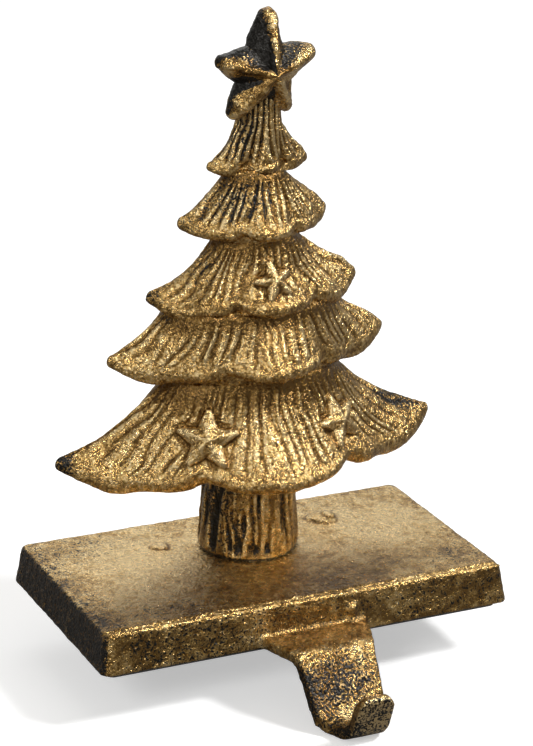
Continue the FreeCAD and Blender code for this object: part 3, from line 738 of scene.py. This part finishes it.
@dataclass(frozen=True)
class TopStar:
    """The five-pointed star on top of the fir. Sizes in mm.

    Each arm has its length and its direction in degrees from upright clockwise.
    """

    centre: Triple = (2.3, 8.2, 164.2)
    arms: tuple[tuple[float, float], ...] = (
        (19.1, 3.2), (18.0, 73.5), (15.2, 145.6), (17.1, 220.6), (16.3, 286.2))
    tip_radius: float = 2.9
    waist: float = 9.6
    apex: float = 5.0
    rim: float = 2.8
    ridge: float = 1.3
    ridge_width: float = 1.5
    turn: float = 4.0
    columns: int = 560
    seed: int = 71

    def sectors(self, angle: np.ndarray) -> tuple[np.ndarray, np.ndarray, np.ndarray]:
        """The arm that each direction belongs to.

        Args:
            angle: directions from upright clockwise, in radians.

        Returns:
            The arm's length, half its angle on that side and the angle from its ridge.
        """
        lengths, places = np.array(self.arms).T
        places = np.radians(places)
        away = (angle[:, None] - places + math.pi) % (2 * math.pi) - math.pi
        nearest = np.abs(away).argmin(axis=1)
        offset = away[np.arange(len(angle)), nearest]
        after = (np.roll(places, -1) - places) % (2 * math.pi) / 2
        before = np.roll(after, 1)
        return lengths[nearest], np.where(offset > 0, after[nearest], before[nearest]), np.abs(offset)

    def outline(self, angle: np.ndarray) -> np.ndarray:
        """Radius of the star's edge.

        Args:
            angle: directions from upright clockwise, in radians.

        Returns:
            The radius in mm in each direction.
        """
        length, half, local = self.sectors(angle)
        middle = length - self.tip_radius
        waist_x, waist_y = self.waist * np.sin(half), self.waist * np.cos(half)
        lean = (waist_x - self.tip_radius) / (middle - waist_y)
        side = (self.tip_radius + lean * middle) / (np.sin(local) + lean * np.cos(local))
        inside = np.maximum(self.tip_radius ** 2 - (middle * np.sin(local)) ** 2, 0.0)
        cap = middle * np.cos(local) + np.sqrt(inside)
        return np.minimum(side, np.where(inside > 0, cap, side))

    def build(self) -> bpy.types.Object:
        """Make the star.

        Returns:
            The finished piece.
        """
        angle = np.arange(self.columns) / self.columns * 2 * math.pi
        local = self.sectors(angle)[2]
        edge = self.outline(angle)
        shares = np.concatenate([np.linspace(0.02, 0.9, 40), np.linspace(0.915, 1.0, 8)])
        sides = []
        for side in (-1.0, 1.0):
            rings = []
            for share in shares:
                radius = edge * share
                aside = radius * np.sin(local)
                swell = self.ridge * np.exp(-(aside / self.ridge_width) ** 4) * (1 - share ** 4)
                lift = self.apex * (1 - share) ** 0.92 + self.rim * (1 - share ** 5) ** 0.5 + swell
                rings.append(np.column_stack([radius * np.sin(angle), side * lift, radius * np.cos(angle)]))
            sides.append(np.array(rings))
        rows = self._placed(np.vstack([sides[0], sides[1][::-1][1:]]))
        black = self._black(angle, shares)
        return self._skin(rows[:, ::-1], np.vstack([black, black[::-1][1:]])[:, ::-1])

    def _placed(self, rows: np.ndarray) -> np.ndarray:
        """Turn and move the star to its place.

        Args:
            rows: rings about the star's own middle.

        Returns:
            The rings in the frame.
        """
        spin = Matrix.Rotation(math.radians(self.turn), 3, "Z")
        return rows @ np.array(spin).T + np.array(self.centre)

    def _black(self, angle: np.ndarray, shares: np.ndarray) -> np.ndarray:
        """Where the black iron shows on the star.

        Args:
            angle: directions from upright clockwise.
            shares: rings as shares of the radius.

        Returns:
            Blackness for each ring and direction.
        """
        degrees = np.degrees((angle + math.pi) % (2 * math.pi) - math.pi)
        zones = (
            (-18.0, 17.0, 1.15, 0.0), (-47.0, 20.0, 0.90, 0.1), (-74.0, 16.0, 0.75, 0.8),
            (-99.0, 8.0, 0.9, 0.35), (-113.0, 7.0, 1.0, 0.2), (-126.0, 12.0, 0.9, 0.8),
            (50.0, 17.0, 0.80, 0.1), (28.0, 8.0, 0.55, 0.3), (178.0, 12.0, 0.9, 0.2),
        )
        total = np.zeros((len(shares), len(angle)))
        for middle, width, strength, start in zones:
            away = (degrees - middle + 180) % 360 - 180
            along = smooth_step(start, start + 0.25, shares) if start else np.ones(len(shares))
            total += strength * np.exp(-(away / width) ** 4)[None, :] * along[:, None]
        return total

    def _skin(self, rows: np.ndarray, black: np.ndarray) -> bpy.types.Object:
        """Raise the grain and make the object.

        Args:
            rows: rings in the frame.
            black: blackness for each point.

        Returns:
            The finished piece.
        """
        normals = grid_normals(rows)
        outward = np.sum(normals * (rows - np.array(self.centre)), axis=-1).mean()
        normals = normals * (1 if outward > 0 else -1)
        grain = sand_grain(rows, STAR_GRAIN, self.seed)
        cavity = np.clip(-grain / 0.25, -1, 1) * 0.6
        tone = CastNoise(9.0, 0.5, self.seed).at(rows)
        moved = rows + normals * grain[..., None]
        return closed_skin("fir_star", rows, moved, (black, cavity, tone), end_black=0.0)


@dataclass(frozen=True)
class PlateCasting:
    """The plate with its hook: a remeshed copy of the CAD node, grained. Sizes in mm.

    The groove of the front edge runs at bead_y and the bead bead_step before it. Each gate
    has its place, its radius and its rise.
    """

    voxel: float = 0.62
    relax_steps: int = 5
    bead_y: float = -33.6
    bead_step: float = 1.6
    gates: tuple[tuple[float, float, float, float], ...] = (
        (-26.1, 17.4, 2.6, 0.30), (30.5, 18.4, 4.6, 0.35), (32.2, 17.6, 1.9, 0.75))
    seed: int = 131

    def build(self, node: bpy.types.Object) -> bpy.types.Object:
        """Make the plate from its CAD node.

        Args:
            node: the CAD node, which stays as it is.

        Returns:
            The finished piece.
        """
        points, normals, faces = self._remeshed(node)
        grain = sand_grain(points, PLATE_GRAIN, self.seed)
        gates, ring = self._gates(points, normals)
        bead = self._bead(points, normals)
        smooth = np.clip(np.abs(bead) / 0.2 + np.abs(gates) / 0.25, 0, 1)
        height = grain * self._roughness(points, normals) * (1 - 0.8 * smooth) + bead + gates
        cavity = np.clip(-grain / 0.2, -1, 1) * 0.6 * (1 - 0.7 * smooth) + ring
        moved = points + normals * height[:, None]
        moved[:, 2] = np.where(points[:, 2] > PAD_TOP + 0.2, moved[:, 2], points[:, 2])
        black, tone = self._black(points, normals), self._tone(points, normals)
        return CastMesh("plate_casting", moved, faces, black, cavity, tone).build()

    def _remeshed(self, node: bpy.types.Object) -> tuple[np.ndarray, np.ndarray, list[tuple[int, ...]]]:
        """Remesh a copy of the CAD node evenly and ease its edges.

        Args:
            node: the CAD node, which stays as it is.

        Returns:
            Places in mm, outward directions and the point numbers of each face.
        """
        copy = bpy.data.objects.new("plate_source", node.data.copy())
        bpy.context.scene.collection.objects.link(copy)
        sheet = bmesh.new()
        sheet.from_mesh(copy.data)
        bmesh.ops.remove_doubles(sheet, verts=sheet.verts, dist=1e-6)
        sheet.to_mesh(copy.data)
        sheet.free()
        remesh = copy.modifiers.new("cast", "REMESH")
        remesh.mode = "VOXEL"
        remesh.voxel_size = self.voxel * MM
        relax = copy.modifiers.new("relax", "SMOOTH")
        relax.iterations = self.relax_steps
        relax.factor = 0.5
        evaluated = copy.evaluated_get(bpy.context.evaluated_depsgraph_get())
        mesh = bpy.data.meshes.new_from_object(evaluated)
        points, normals = (np.zeros(len(mesh.vertices) * 3) for _ in range(2))
        mesh.vertices.foreach_get("co", points)
        mesh.vertices.foreach_get("normal", normals)
        faces = [tuple(polygon.vertices) for polygon in mesh.polygons]
        bpy.data.objects.remove(copy)
        return points.reshape(-1, 3) / MM, normals.reshape(-1, 3), faces

    def _gates(self, points: np.ndarray, normals: np.ndarray) -> tuple[np.ndarray, np.ndarray]:
        """The two stubs where the casting was cut from its gates, sharpened over the CAD's.

        Args:
            points: places in mm.
            normals: outward directions.

        Returns:
            Heights in mm and how deep in the ring round a stub each point is.
        """
        on_top = (normals[:, 2] > 0.3) & (points[:, 2] > PLATE_TOP - 1.0)
        height, ring = np.zeros(len(points)), np.zeros(len(points))
        for x, y, radius, rise in self.gates:
            offset = points[:, :2] - np.array([x, y])
            turn = np.arctan2(offset[:, 1], offset[:, 0])
            edge = radius * (1 + 0.10 * np.sin(3 * turn + x) + 0.06 * np.sin(5 * turn))
            away = np.hypot(offset[:, 0], offset[:, 1]) - edge
            height += rise * smooth_step(0.35, -0.35, away)
            ring += bell(away, 0.35, 0.45)
        return np.where(on_top, height, 0.0), np.where(on_top, np.clip(ring, 0, 1), 0.0)

    def _roughness(self, points: np.ndarray, normals: np.ndarray) -> np.ndarray:
        """How strong the grain is from place to place.

        Args:
            points: places in mm.
            normals: outward directions.

        Returns:
            A factor for each point, low on the rubbed zone before the trunk.
        """
        offset = (points - np.array([4.0, -20.0, PLATE_TOP])) / np.array([22.0, 15.0, 4.0])
        smooth = np.exp(-np.sum(offset ** 2, axis=1)) * (normals[:, 2] > 0.7)
        return 1 - 0.6 * smooth

    def _bead(self, points: np.ndarray, normals: np.ndarray) -> np.ndarray:
        """The bead along the front top edge and the groove behind it.

        Args:
            points: places in mm.
            normals: outward directions.

        Returns:
            Heights in mm.
        """
        on_top = (normals[:, 2] > 0.5) & (points[:, 2] > PLATE_TOP - 1.5) & (points[:, 1] < self.bead_y + 4)
        groove = -0.60 * bell(points[:, 1], self.bead_y, 0.60)
        bead = 0.42 * bell(points[:, 1] - self.bead_y, -self.bead_step, 0.85)
        return np.where(on_top, groove + bead, 0.0)

    def _black(self, points: np.ndarray, normals: np.ndarray) -> np.ndarray:
        """Where the black iron shows.

        Args:
            points: places in mm.
            normals: outward directions.

        Returns:
            Blackness at each point.
        """
        top = smooth_step(0.5, 0.8, normals[:, 2])
        left = smooth_step(0.35, 0.75, -normals[:, 0]) * (points[:, 0] < -50)
        front = smooth_step(0.5, 0.8, -normals[:, 1]) * (points[:, 1] > -41)
        patches = (
            SoftPatch((-40.0, -27.0, PLATE_TOP), (26.0, 7.0, 6.0), 0.24),
            SoftPatch((-63.0, 0.0, PLATE_TOP), (6.0, 50.0, 6.0), 0.30),
            SoftPatch((-48.0, 26.0, PLATE_TOP), (10.0, 9.0, 6.0), 0.24),
            SoftPatch((58.0, -24.0, PLATE_TOP), (14.0, 10.0, 6.0), 0.24),
            SoftPatch((-14.0, 2.0, PLATE_TOP), (7.0, 9.0, 6.0), 0.24),
        )
        face = 0.41 + patches_at((
            SoftPatch((-40.0, -38.0, 7.0), (24.0, 10.0, 30.0), 0.10),
            SoftPatch((60.0, -38.0, 7.0), (16.0, 10.0, 30.0), 0.02),
            SoftPatch((-66.0, -38.0, 7.0), (5.0, 10.0, 30.0), -0.25),
        ), points)
        hook = 0.26 + 0.30 * self._tongue(points, normals) + patches_at((
            SoftPatch((0.6, -58.0, -4.0), (15.0, 8.0, 11.0), 0.46),
            SoftPatch((-6.0, -72.0, -12.0), (4.0, 7.0, 6.0), 0.40),
            SoftPatch((-11.0, -60.0, -6.0), (3.0, 18.0, 12.0), 0.25),
        ), points)
        bare = 0.20 - 0.25 * bell(points[:, 1] - self.bead_y, -self.bead_step, 1.1)
        value = 0.5 * (1 - top) + (bare + patches_at(patches, points)) * top
        value = value * (1 - front) + face * front
        value = value * (1 - left) + 0.74 * left
        on_hook = smooth_step(-38.5, -40.5, points[:, 1])
        return value * (1 - on_hook) + hook * on_hook

    def _tongue(self, points: np.ndarray, normals: np.ndarray) -> np.ndarray:
        """The outer face of the hook's tongue, which got little gold.

        Args:
            points: places in mm.
            normals: outward directions.

        Returns:
            1 on that face, 0 elsewhere.
        """
        return smooth_step(0.2, 0.6, -normals[:, 1]) * smooth_step(-70.0, -74.0, points[:, 1])

    def _tone(self, points: np.ndarray, normals: np.ndarray) -> np.ndarray:
        """Warm or pale gold from place to place.

        Args:
            points: places in mm.
            normals: outward directions.

        Returns:
            Tone at each point, from -1 for golden brown to 1 for pale gold.
        """
        top = smooth_step(0.5, 0.8, normals[:, 2]) * (points[:, 1] > -38)
        pale = patches_at((
            SoftPatch((-32.0, 10.0, PLATE_TOP), (34.0, 30.0, 8.0), 1.3),
            SoftPatch((42.0, 8.0, PLATE_TOP), (28.0, 30.0, 8.0), 1.2),
            SoftPatch((4.0, -22.0, PLATE_TOP), (22.0, 13.0, 8.0), -0.6),
        ), points)
        tongue = 2.6 * self._tongue(points, normals)
        return pale * top + tongue + CastNoise(12.0, 0.3, self.seed).at(points)


class Shader:
    """A small helper that adds nodes to one material."""

    def __init__(self, name: str) -> None:
        """Start an empty material.

        Args:
            name: name of the material.
        """
        self.material = bpy.data.materials.new(name)
        self.material.use_nodes = True
        self.tree = self.material.node_tree
        self.shader = self.tree.nodes["Principled BSDF"]

    def node(self, kind: str, **settings: object) -> bpy.types.Node:
        """Add a node.

        Args:
            kind: node type.
            settings: properties to set on it.

        Returns:
            The node.
        """
        made = self.tree.nodes.new(kind)
        for label, value in settings.items():
            setattr(made, label, value)
        return made

    def link(self, source: bpy.types.NodeSocket, target: bpy.types.NodeSocket) -> None:
        """Join two sockets.

        Args:
            source: output socket.
            target: input socket.
        """
        self.tree.links.new(source, target)

    def field(self, name: str) -> bpy.types.NodeSocket:
        """A mesh attribute.

        Args:
            name: attribute name.

        Returns:
            Its value socket.
        """
        return self.node("ShaderNodeAttribute", attribute_name=name).outputs["Fac"]

    def noise(self, cell: float, detail: float = 2.0) -> bpy.types.NodeSocket:
        """Procedural noise in the object's own space.

        Args:
            cell: size of the lumps in mm.
            detail: number of finer layers.

        Returns:
            The value socket.
        """
        place = self.node("ShaderNodeTexCoord").outputs["Object"]
        made = self.node("ShaderNodeTexNoise")
        made.inputs["Scale"].default_value = 1 / (cell * MM)
        made.inputs["Detail"].default_value = detail
        self.link(place, made.inputs["Vector"])
        return made.outputs["Fac"]

    def sum(self, *terms: tuple[bpy.types.NodeSocket, float], start: float = 0.0) -> bpy.types.NodeSocket:
        """Weighted sum.

        Args:
            terms: sockets with their factors.
            start: constant to begin with.

        Returns:
            The value socket.
        """
        total: bpy.types.NodeSocket | None = None
        for socket, factor in terms:
            made = self.node("ShaderNodeMath", operation="MULTIPLY_ADD")
            self.link(socket, made.inputs[0])
            made.inputs[1].default_value = factor
            if total is None:
                made.inputs[2].default_value = start
            else:
                self.link(total, made.inputs[2])
            total = made.outputs[0]
        return total

    def ease(self, value: bpy.types.NodeSocket, low: float, high: float, first: float = 0.0,
             last: float = 1.0) -> bpy.types.NodeSocket:
        """Map a range smoothly to another.

        Args:
            value: the value to map.
            low: start of the range.
            high: end of the range.
            first: result at the start.
            last: result at the end.

        Returns:
            The value socket.
        """
        made = self.node("ShaderNodeMapRange", interpolation_type="SMOOTHSTEP")
        self.link(value, made.inputs["Value"])
        for label, number in (("From Min", low), ("From Max", high), ("To Min", first), ("To Max", last)):
            made.inputs[label].default_value = number
        return made.outputs["Result"]

    def blend(self, factor: bpy.types.NodeSocket, low: object, high: object) -> bpy.types.NodeSocket:
        """Mix two colours.

        Args:
            factor: share of the second.
            low: colour or socket at 0.
            high: colour or socket at 1.

        Returns:
            The colour socket.
        """
        made = self.node("ShaderNodeMix", data_type="RGBA")
        self.link(factor, made.inputs["Factor"])
        for socket, value in ((made.inputs[6], low), (made.inputs[7], high)):
            if isinstance(value, tuple):
                socket.default_value = (*value, 1.0)
            else:
                self.link(value, socket)
        return made.outputs[2]

    def bump(self, height: bpy.types.NodeSocket, distance: float, strength: float,
             normal: bpy.types.NodeSocket | None = None) -> bpy.types.NodeSocket:
        """Fine relief.

        Args:
            height: height field from 0 to 1.
            distance: its full height in mm.
            strength: its share.
            normal: relief to add to.

        Returns:
            The normal socket.
        """
        made = self.node("ShaderNodeBump")
        made.inputs["Distance"].default_value = distance * MM
        made.inputs["Strength"].default_value = strength
        self.link(height, made.inputs["Height"])
        if normal is not None:
            self.link(normal, made.inputs["Normal"])
        return made.outputs["Normal"]


@dataclass(frozen=True)
class AntiqueGold:
    """Gold rubbed over black cast iron, with a thin lacquer. Heights of the grain in mm."""

    deep: Triple = (0.22, 0.117, 0.025)
    gold: Triple = (0.56, 0.353, 0.115)
    pale: Triple = (0.79, 0.585, 0.285)
    iron: Triple = (0.018, 0.016, 0.013)
    grain: float = 0.75
    grain_height: float = 0.55
    broad_grain: float = 1.4
    broad_grain_height: float = 0.45
    lacquer: float = 0.4
    lacquer_roughness: float = 0.16

    def build(self) -> bpy.types.Material:
        """Make the material.

        Returns:
            The material.
        """
        look = Shader("antique_gold_iron")
        black, cavity, tone = look.field("black"), look.field("cavity"), look.field("tone")
        fine, middle, broad = look.noise(0.7), look.noise(2.4), look.noise(8.0)
        mask = look.sum((black, 1.1), (cavity, 0.10), (fine, 2.05), (middle, 0.35), (broad, 0.25),
                        start=-1.42)
        mask = look.ease(mask, 0.45, 0.62)
        warm = look.sum((tone, 0.4), (cavity, -0.85), (middle, 0.3), (fine, 1.9), start=-0.66)
        warm = look.ease(warm, 0.0, 1.0)
        colour = look.blend(look.ease(warm, 0.0, 0.5), self.deep, self.gold)
        colour = look.blend(look.ease(warm, 0.5, 1.0), colour, self.pale)
        colour = look.blend(mask, colour, self.iron)
        look.link(colour, look.shader.inputs["Base Color"])
        look.shader.inputs["Metallic"].default_value = 1.0
        rough = look.ease(look.sum((mask, 0.4), (middle, 0.8)), 0.0, 1.2, 0.20, 0.44)
        look.link(rough, look.shader.inputs["Roughness"])
        relief = look.bump(look.noise(self.grain, 3.0), self.grain_height, 0.9)
        relief = look.bump(look.noise(self.broad_grain, 1.0), self.broad_grain_height, 0.7, relief)
        look.link(relief, look.shader.inputs["Normal"])
        look.link(relief, look.shader.inputs["Coat Normal"])
        look.shader.inputs["Coat Weight"].default_value = self.lacquer
        look.shader.inputs["Coat Roughness"].default_value = self.lacquer_roughness
        return look.material


@dataclass(frozen=True)
class PlainFinish:
    """A plain finish of one colour with a fine grain."""

    name: str
    colour: Triple
    metallic: float
    roughness: float
    grain: float

    def build(self) -> bpy.types.Material:
        """Make the material.

        Returns:
            The material.
        """
        look = Shader(self.name)
        grain = look.noise(self.grain, 3.0)
        dark = tuple(0.8 * part for part in self.colour)
        look.link(look.blend(grain, dark, self.colour), look.shader.inputs["Base Color"])
        look.shader.inputs["Metallic"].default_value = self.metallic
        look.link(look.ease(grain, 0.2, 0.8, self.roughness * 0.9, self.roughness * 1.1),
                  look.shader.inputs["Roughness"])
        look.link(look.bump(grain, 0.05, 0.4), look.shader.inputs["Normal"])
        return look.material


@dataclass(frozen=True)
class Lamp:
    """One soft lamp."""

    name: str
    place: Triple
    power: float
    width: float
    height: float

    def build(self, target: Vector) -> bpy.types.Object:
        """Make the lamp.

        Args:
            target: the point it faces.

        Returns:
            The lamp.
        """
        data = bpy.data.lights.new(self.name, "AREA")
        data.shape = "RECTANGLE"
        data.size, data.size_y = self.width, self.height
        data.energy = self.power
        lamp = bpy.data.objects.new(self.name, data)
        bpy.context.scene.collection.objects.link(lamp)
        lamp.location = self.place
        lamp.rotation_euler = (target - lamp.location).to_track_quat("-Z", "Y").to_euler()
        return lamp


@dataclass(frozen=True)
class Studio:
    """Floor, world, lamps and camera."""

    floor_height: float = -0.0159
    floor_reach: float = 6.0
    lens: float = 125.47
    camera_place: Triple = (-0.31543, -0.66534, 0.33867)
    yaw: float = -25.45
    pitch: float = 19.817
    roll: float = 1.010
    lamps: tuple[Lamp, ...] = (
        Lamp("key", (0.75, -0.60, 1.10), 15.0, 0.26, 0.24),
        Lamp("fill", (-0.9, -0.75, 0.75), 5.5, 0.4, 0.4),
        Lamp("rim", (0.2, 0.9, 0.9), 3.0, 0.8, 0.5),
    )

    def build(self) -> None:
        """Make the whole studio."""
        self._floor()
        self._world()
        for lamp in self.lamps:
            lamp.build(Vector((0.0, 0.0, 0.08)))
        self._camera()
        bpy.context.scene.view_settings.view_transform = "Standard"

    def _floor(self) -> None:
        """Make the pale floor."""
        mesh = bpy.data.meshes.new("floor")
        corners = [(across * self.floor_reach, along * self.floor_reach, self.floor_height)
                   for across, along in ((-1, -1), (1, -1), (1, 1), (-1, 1))]
        mesh.from_pydata(corners, [], [(0, 1, 2, 3)])
        floor = bpy.data.objects.new("floor", mesh)
        bpy.context.scene.collection.objects.link(floor)
        look = Shader("studio_floor")
        path = look.node("ShaderNodeLightPath")
        seen = look.blend(path.outputs["Is Glossy Ray"], (0.86, 0.86, 0.86), (0.22, 0.21, 0.20))
        look.link(seen, look.shader.inputs["Base Color"])
        look.shader.inputs["Roughness"].default_value = 0.9
        look.shader.inputs["Specular IOR Level"].default_value = 0.0
        glow = look.node("ShaderNodeMath", operation="MULTIPLY")
        look.link(path.outputs["Is Camera Ray"], glow.inputs[0])
        glow.inputs[1].default_value = 0.45
        look.shader.inputs["Emission Color"].default_value = (1.0, 1.0, 1.0, 1.0)
        look.link(glow.outputs[0], look.shader.inputs["Emission Strength"])
        mesh.materials.append(look.material)

    def _world(self) -> None:
        """Make the world: white to the camera, a pale backdrop and a dimmer room to the metal."""
        world = bpy.data.worlds.new("studio")
        bpy.context.scene.world = world
        world.use_nodes = True
        tree = world.node_tree
        background = tree.nodes["Background"]
        path = tree.nodes.new("ShaderNodeLightPath")
        toward = tree.nodes.new("ShaderNodeVectorMath")
        toward.operation = "DOT_PRODUCT"
        toward.inputs[1].default_value = (0.42, 0.88, 0.20)
        tree.links.new(tree.nodes.new("ShaderNodeTexCoord").outputs["Generated"], toward.inputs[0])
        share = tree.nodes.new("ShaderNodeMapRange")
        share.interpolation_type = "SMOOTHSTEP"
        share.inputs["From Min"].default_value = 0.45
        share.inputs["From Max"].default_value = 0.85
        tree.links.new(toward.outputs["Value"], share.inputs["Value"])
        room = tree.nodes.new("ShaderNodeMix")
        room.data_type = "RGBA"
        room.inputs[6].default_value = (0.25, 0.245, 0.23, 1.0)
        room.inputs[7].default_value = (0.47, 0.46, 0.435, 1.0)
        tree.links.new(share.outputs["Result"], room.inputs["Factor"])
        mix = tree.nodes.new("ShaderNodeMix")
        mix.data_type = "RGBA"
        mix.inputs[7].default_value = (1.0, 1.0, 1.0, 1.0)
        tree.links.new(room.outputs[2], mix.inputs[6])
        tree.links.new(path.outputs["Is Camera Ray"], mix.inputs["Factor"])
        tree.links.new(mix.outputs[2], background.inputs["Color"])

    def _camera(self) -> None:
        """Make the camera at the photo's angle."""
        data = bpy.data.cameras.new("camera")
        data.lens = self.lens
        camera = bpy.data.objects.new("camera", data)
        yaw, pitch, roll = (math.radians(angle) for angle in (self.yaw, self.pitch, self.roll))
        back = Vector((math.sin(yaw) * math.cos(pitch), -math.cos(yaw) * math.cos(pitch), math.sin(pitch)))
        right = Vector((math.cos(yaw), math.sin(yaw), 0.0))
        up = back.cross(right)
        side = right * math.cos(roll) + up * math.sin(roll)
        top = up * math.cos(roll) - right * math.sin(roll)
        camera.matrix_world = Matrix((side, top, back)).transposed().to_4x4()
        camera.location = self.camera_place
        bpy.context.scene.collection.objects.link(camera)
        bpy.context.scene.camera = camera


@dataclass(frozen=True)
class FirTree:
    """Trunk, skirts and star of the fir."""

    trunk: Trunk
    skirts: tuple[Skirt, ...]
    star: TopStar

    def build(self, finish: bpy.types.Material) -> list[bpy.types.Object]:
        """Make every piece of the fir.

        Args:
            finish: its material.

        Returns:
            The pieces from the foot up.
        """
        pieces = [self.trunk.build()]
        below = oval(self.trunk.top_radius, self.trunk.top_radius / (1 + BACK_RATIO) * 2)
        place = (TREE_X, TREE_Y, PLATE_TOP + self.trunk.height - 1.0)
        for skirt in self.skirts:
            flat = spread_evenly(below, skirt.columns())
            root = np.column_stack([flat * 0.97 + np.array(place[:2]), np.full(len(flat), place[2])])
            pieces.append(skirt.build(root))
            below = skirt.neck_outline()
            place = (TREE_X + skirt.shift, TREE_Y, PAD_TOP + skirt.neck_height - 1.0)
        pieces.append(self.star.build())
        for piece in pieces:
            dress(piece, finish, Slot.GOLD, "tree")
        return pieces


def dress(piece: bpy.types.Object, finish: bpy.types.Material, slot: Slot, node: str | None = None) -> None:
    """Give a piece its finish, its body and the CAD node it stands for.

    Args:
        piece: the piece.
        finish: its material.
        slot: the record's material slot; not used.
        node: the CAD node it replaces, or None if it is that node.
    """
    piece.data.materials.clear()
    piece.data.materials.append(finish)
    if node:
        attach(piece, "root")
        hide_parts(node)
    LOG.info("%s: %d faces", piece.name, len(piece.data.polygons))


def holder_tree() -> FirTree:
    """The fir as it stands on this holder.

    Returns:
        The tree with all its sizes and black places.
    """
    lowest = Skirt(
        "fir_skirt_1", half_span=63.1, shift=-0.4, depth=32.4, tip_height=47.6, droop=4.9,
        side_droop=2.0, bulge=-0.06, left_notch=0.36, right_notch=0.38, lip_radius=3.2,
        neck_half_span=27.5, neck_depth=17.0, neck_height=71.0, flare=1.95, needles=52,
        needle_depth=1.3, seed=21,
        reliefs=(ReliefStar(-0.105, 0.48, 11.4, 4.0, 3.2), ReliefStar(0.1125, 0.48, 10.2, -12.0, 2.9)),
        patches=(
            SoftPatch((-61.0, 9.0, 50.0), (6.0, 9.0, 6.0), 1.2),
            SoftPatch((-46.0, -2.0, 43.0), (26.0, 12.0, 2.6), 0.45),
            SoftPatch((48.0, 10.0, 57.0), (12.0, 6.0, 6.0), 0.85),
            SoftPatch((56.0, 8.0, 53.0), (9.0, 9.0, 9.0), 0.62),
            SoftPatch((40.0, 0.0, 60.0), (14.0, 9.0, 9.0), 0.28),
            # Painted shade with dark patina on this skirt's underside.
            SoftPatch((0.0, 10.0, 43.0), (26.0, 22.0, 3.0), 0.7),
            SoftPatch((-28.0, -8.0, 54.0), (10.0, 9.0, 8.0), 0.3),
        ),
        right_swell_gain=-0.3,
    )
    second = Skirt(
        "fir_skirt_2", half_span=46.0, shift=-1.2, depth=25.0, tip_height=77.9, droop=3.0,
        side_droop=1.8, bulge=-0.06, left_notch=0.27, right_notch=0.38, lip_radius=2.8,
        neck_half_span=27.2, neck_depth=16.0, neck_height=91.5, flare=1.65, needles=44,
        needle_depth=1.25, seed=31,
        patches=(
            SoftPatch((40.0, 12.0, 84.0), (8.0, 5.0, 5.0), 0.5),
            SoftPatch((-28.0, 8.0, 92.0), (8.0, 6.0, 3.0), 0.5),
            # Painted shade with dark patina on this skirt's underside.
            SoftPatch((0.0, 10.0, 73.5), (30.0, 20.0, 3.0), 0.6),
        ),
    )
    third = Skirt(
        "fir_skirt_3", half_span=34.9, shift=0.4, depth=20.0, tip_height=96.3, droop=2.7,
        side_droop=2.4, bulge=0.04, left_notch=0.29, right_notch=0.40, lip_radius=2.8,
        neck_half_span=13.0, neck_depth=10.5, neck_height=113.0, flare=2.0, needles=38,
        needle_depth=1.2, seed=41,
        reliefs=(ReliefStar(0.0025, 0.49, 7.6, -8.0, 2.3),),
        patches=(
            SoftPatch((-33.0, 10.0, 99.0), (5.0, 6.0, 5.0), 0.95),
            SoftPatch((-20.0, 8.0, 107.0), (9.0, 8.0, 7.0), 0.8),
            SoftPatch((-4.0, -6.0, 104.0), (22.0, 8.0, 10.0), 0.2),
            SoftPatch((31.0, 13.0, 102.0), (7.0, 5.0, 4.0), 0.5),
            # Painted shade with dark patina on this skirt's underside.
            SoftPatch((0.0, 10.0, 92.0), (26.0, 18.0, 2.6), 0.6),
        ),
    )
    fourth = Skirt(
        "fir_skirt_4", half_span=24.5, shift=-0.1, depth=16.4, tip_height=118.2, droop=2.3,
        side_droop=0.3, bulge=0.02, left_notch=0.31, right_notch=0.36, lip_radius=2.5,
        neck_half_span=9.4, neck_depth=8.2, neck_height=132.0, flare=1.45, needles=30,
        needle_depth=1.15, seed=51,
        patches=(
            SoftPatch((-22.0, 8.0, 121.0), (5.0, 8.0, 7.0), 0.6),
            SoftPatch((-12.0, 3.0, 128.0), (9.0, 10.0, 9.0), 0.85),
            SoftPatch((-2.0, 0.0, 127.0), (7.0, 8.0, 8.0), 0.5),
            SoftPatch((20.0, 10.0, 124.0), (6.0, 8.0, 6.0), 0.35),
            # Painted shade with dark patina on this skirt's underside.
            SoftPatch((0.0, 10.0, 114.0), (20.0, 16.0, 2.6), 0.6),
        ),
    )
    highest = Skirt(
        "fir_skirt_5", half_span=16.5, shift=1.2, depth=8.8, tip_height=134.6, droop=0.6,
        side_droop=0.7, bulge=0.08, left_notch=0.30, right_notch=0.34, lip_radius=2.1,
        neck_half_span=6.8, neck_depth=6.2, neck_height=147.0, flare=1.9, needles=22, needle_depth=1.05,
        seed=61,
        patches=(
            SoftPatch((-8.0, 6.0, 146.0), (7.0, 9.0, 12.0), 0.85),
            SoftPatch((-2.0, 4.0, 146.0), (5.0, 6.0, 7.0), 0.35),
            SoftPatch((2.0, 6.0, 157.0), (9.0, 9.0, 6.0), 0.65),
            SoftPatch((14.0, 10.0, 143.0), (5.0, 8.0, 5.0), 0.4),
        ),
        top_half_span=5.6, top_rise=14.0,
    )
    return FirTree(Trunk(), (lowest, second, third, fourth, highest), TopStar())


def main() -> None:
    """Dress the stocking holder and set up its studio."""
    logging.basicConfig(level=logging.INFO, format="%(name)s %(message)s")
    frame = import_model()
    gold = AntiqueGold().build()
    holder_tree().build(gold)
    dress(PlateCasting().build(frame["nodes"]["base_plate"]), gold, Slot.GOLD, "base_plate")
    steel = PlainFinish("zinc_steel", (0.55, 0.55, 0.56), 1.0, 0.35, 0.8).build()
    rubber = PlainFinish("black_rubber", (0.05, 0.05, 0.05), 0.0, 0.8, 0.5).build()
    for name, finish, slot in (("tree_screw", steel, Slot.STEEL), ("screw_washer", steel, Slot.STEEL),
                               ("underside_pad", rubber, Slot.RUBBER)):
        dress(frame["nodes"][name], finish, slot)
    Studio().build()
    bpy.context.view_layer.update()


if __name__ == "__main__":
    main()
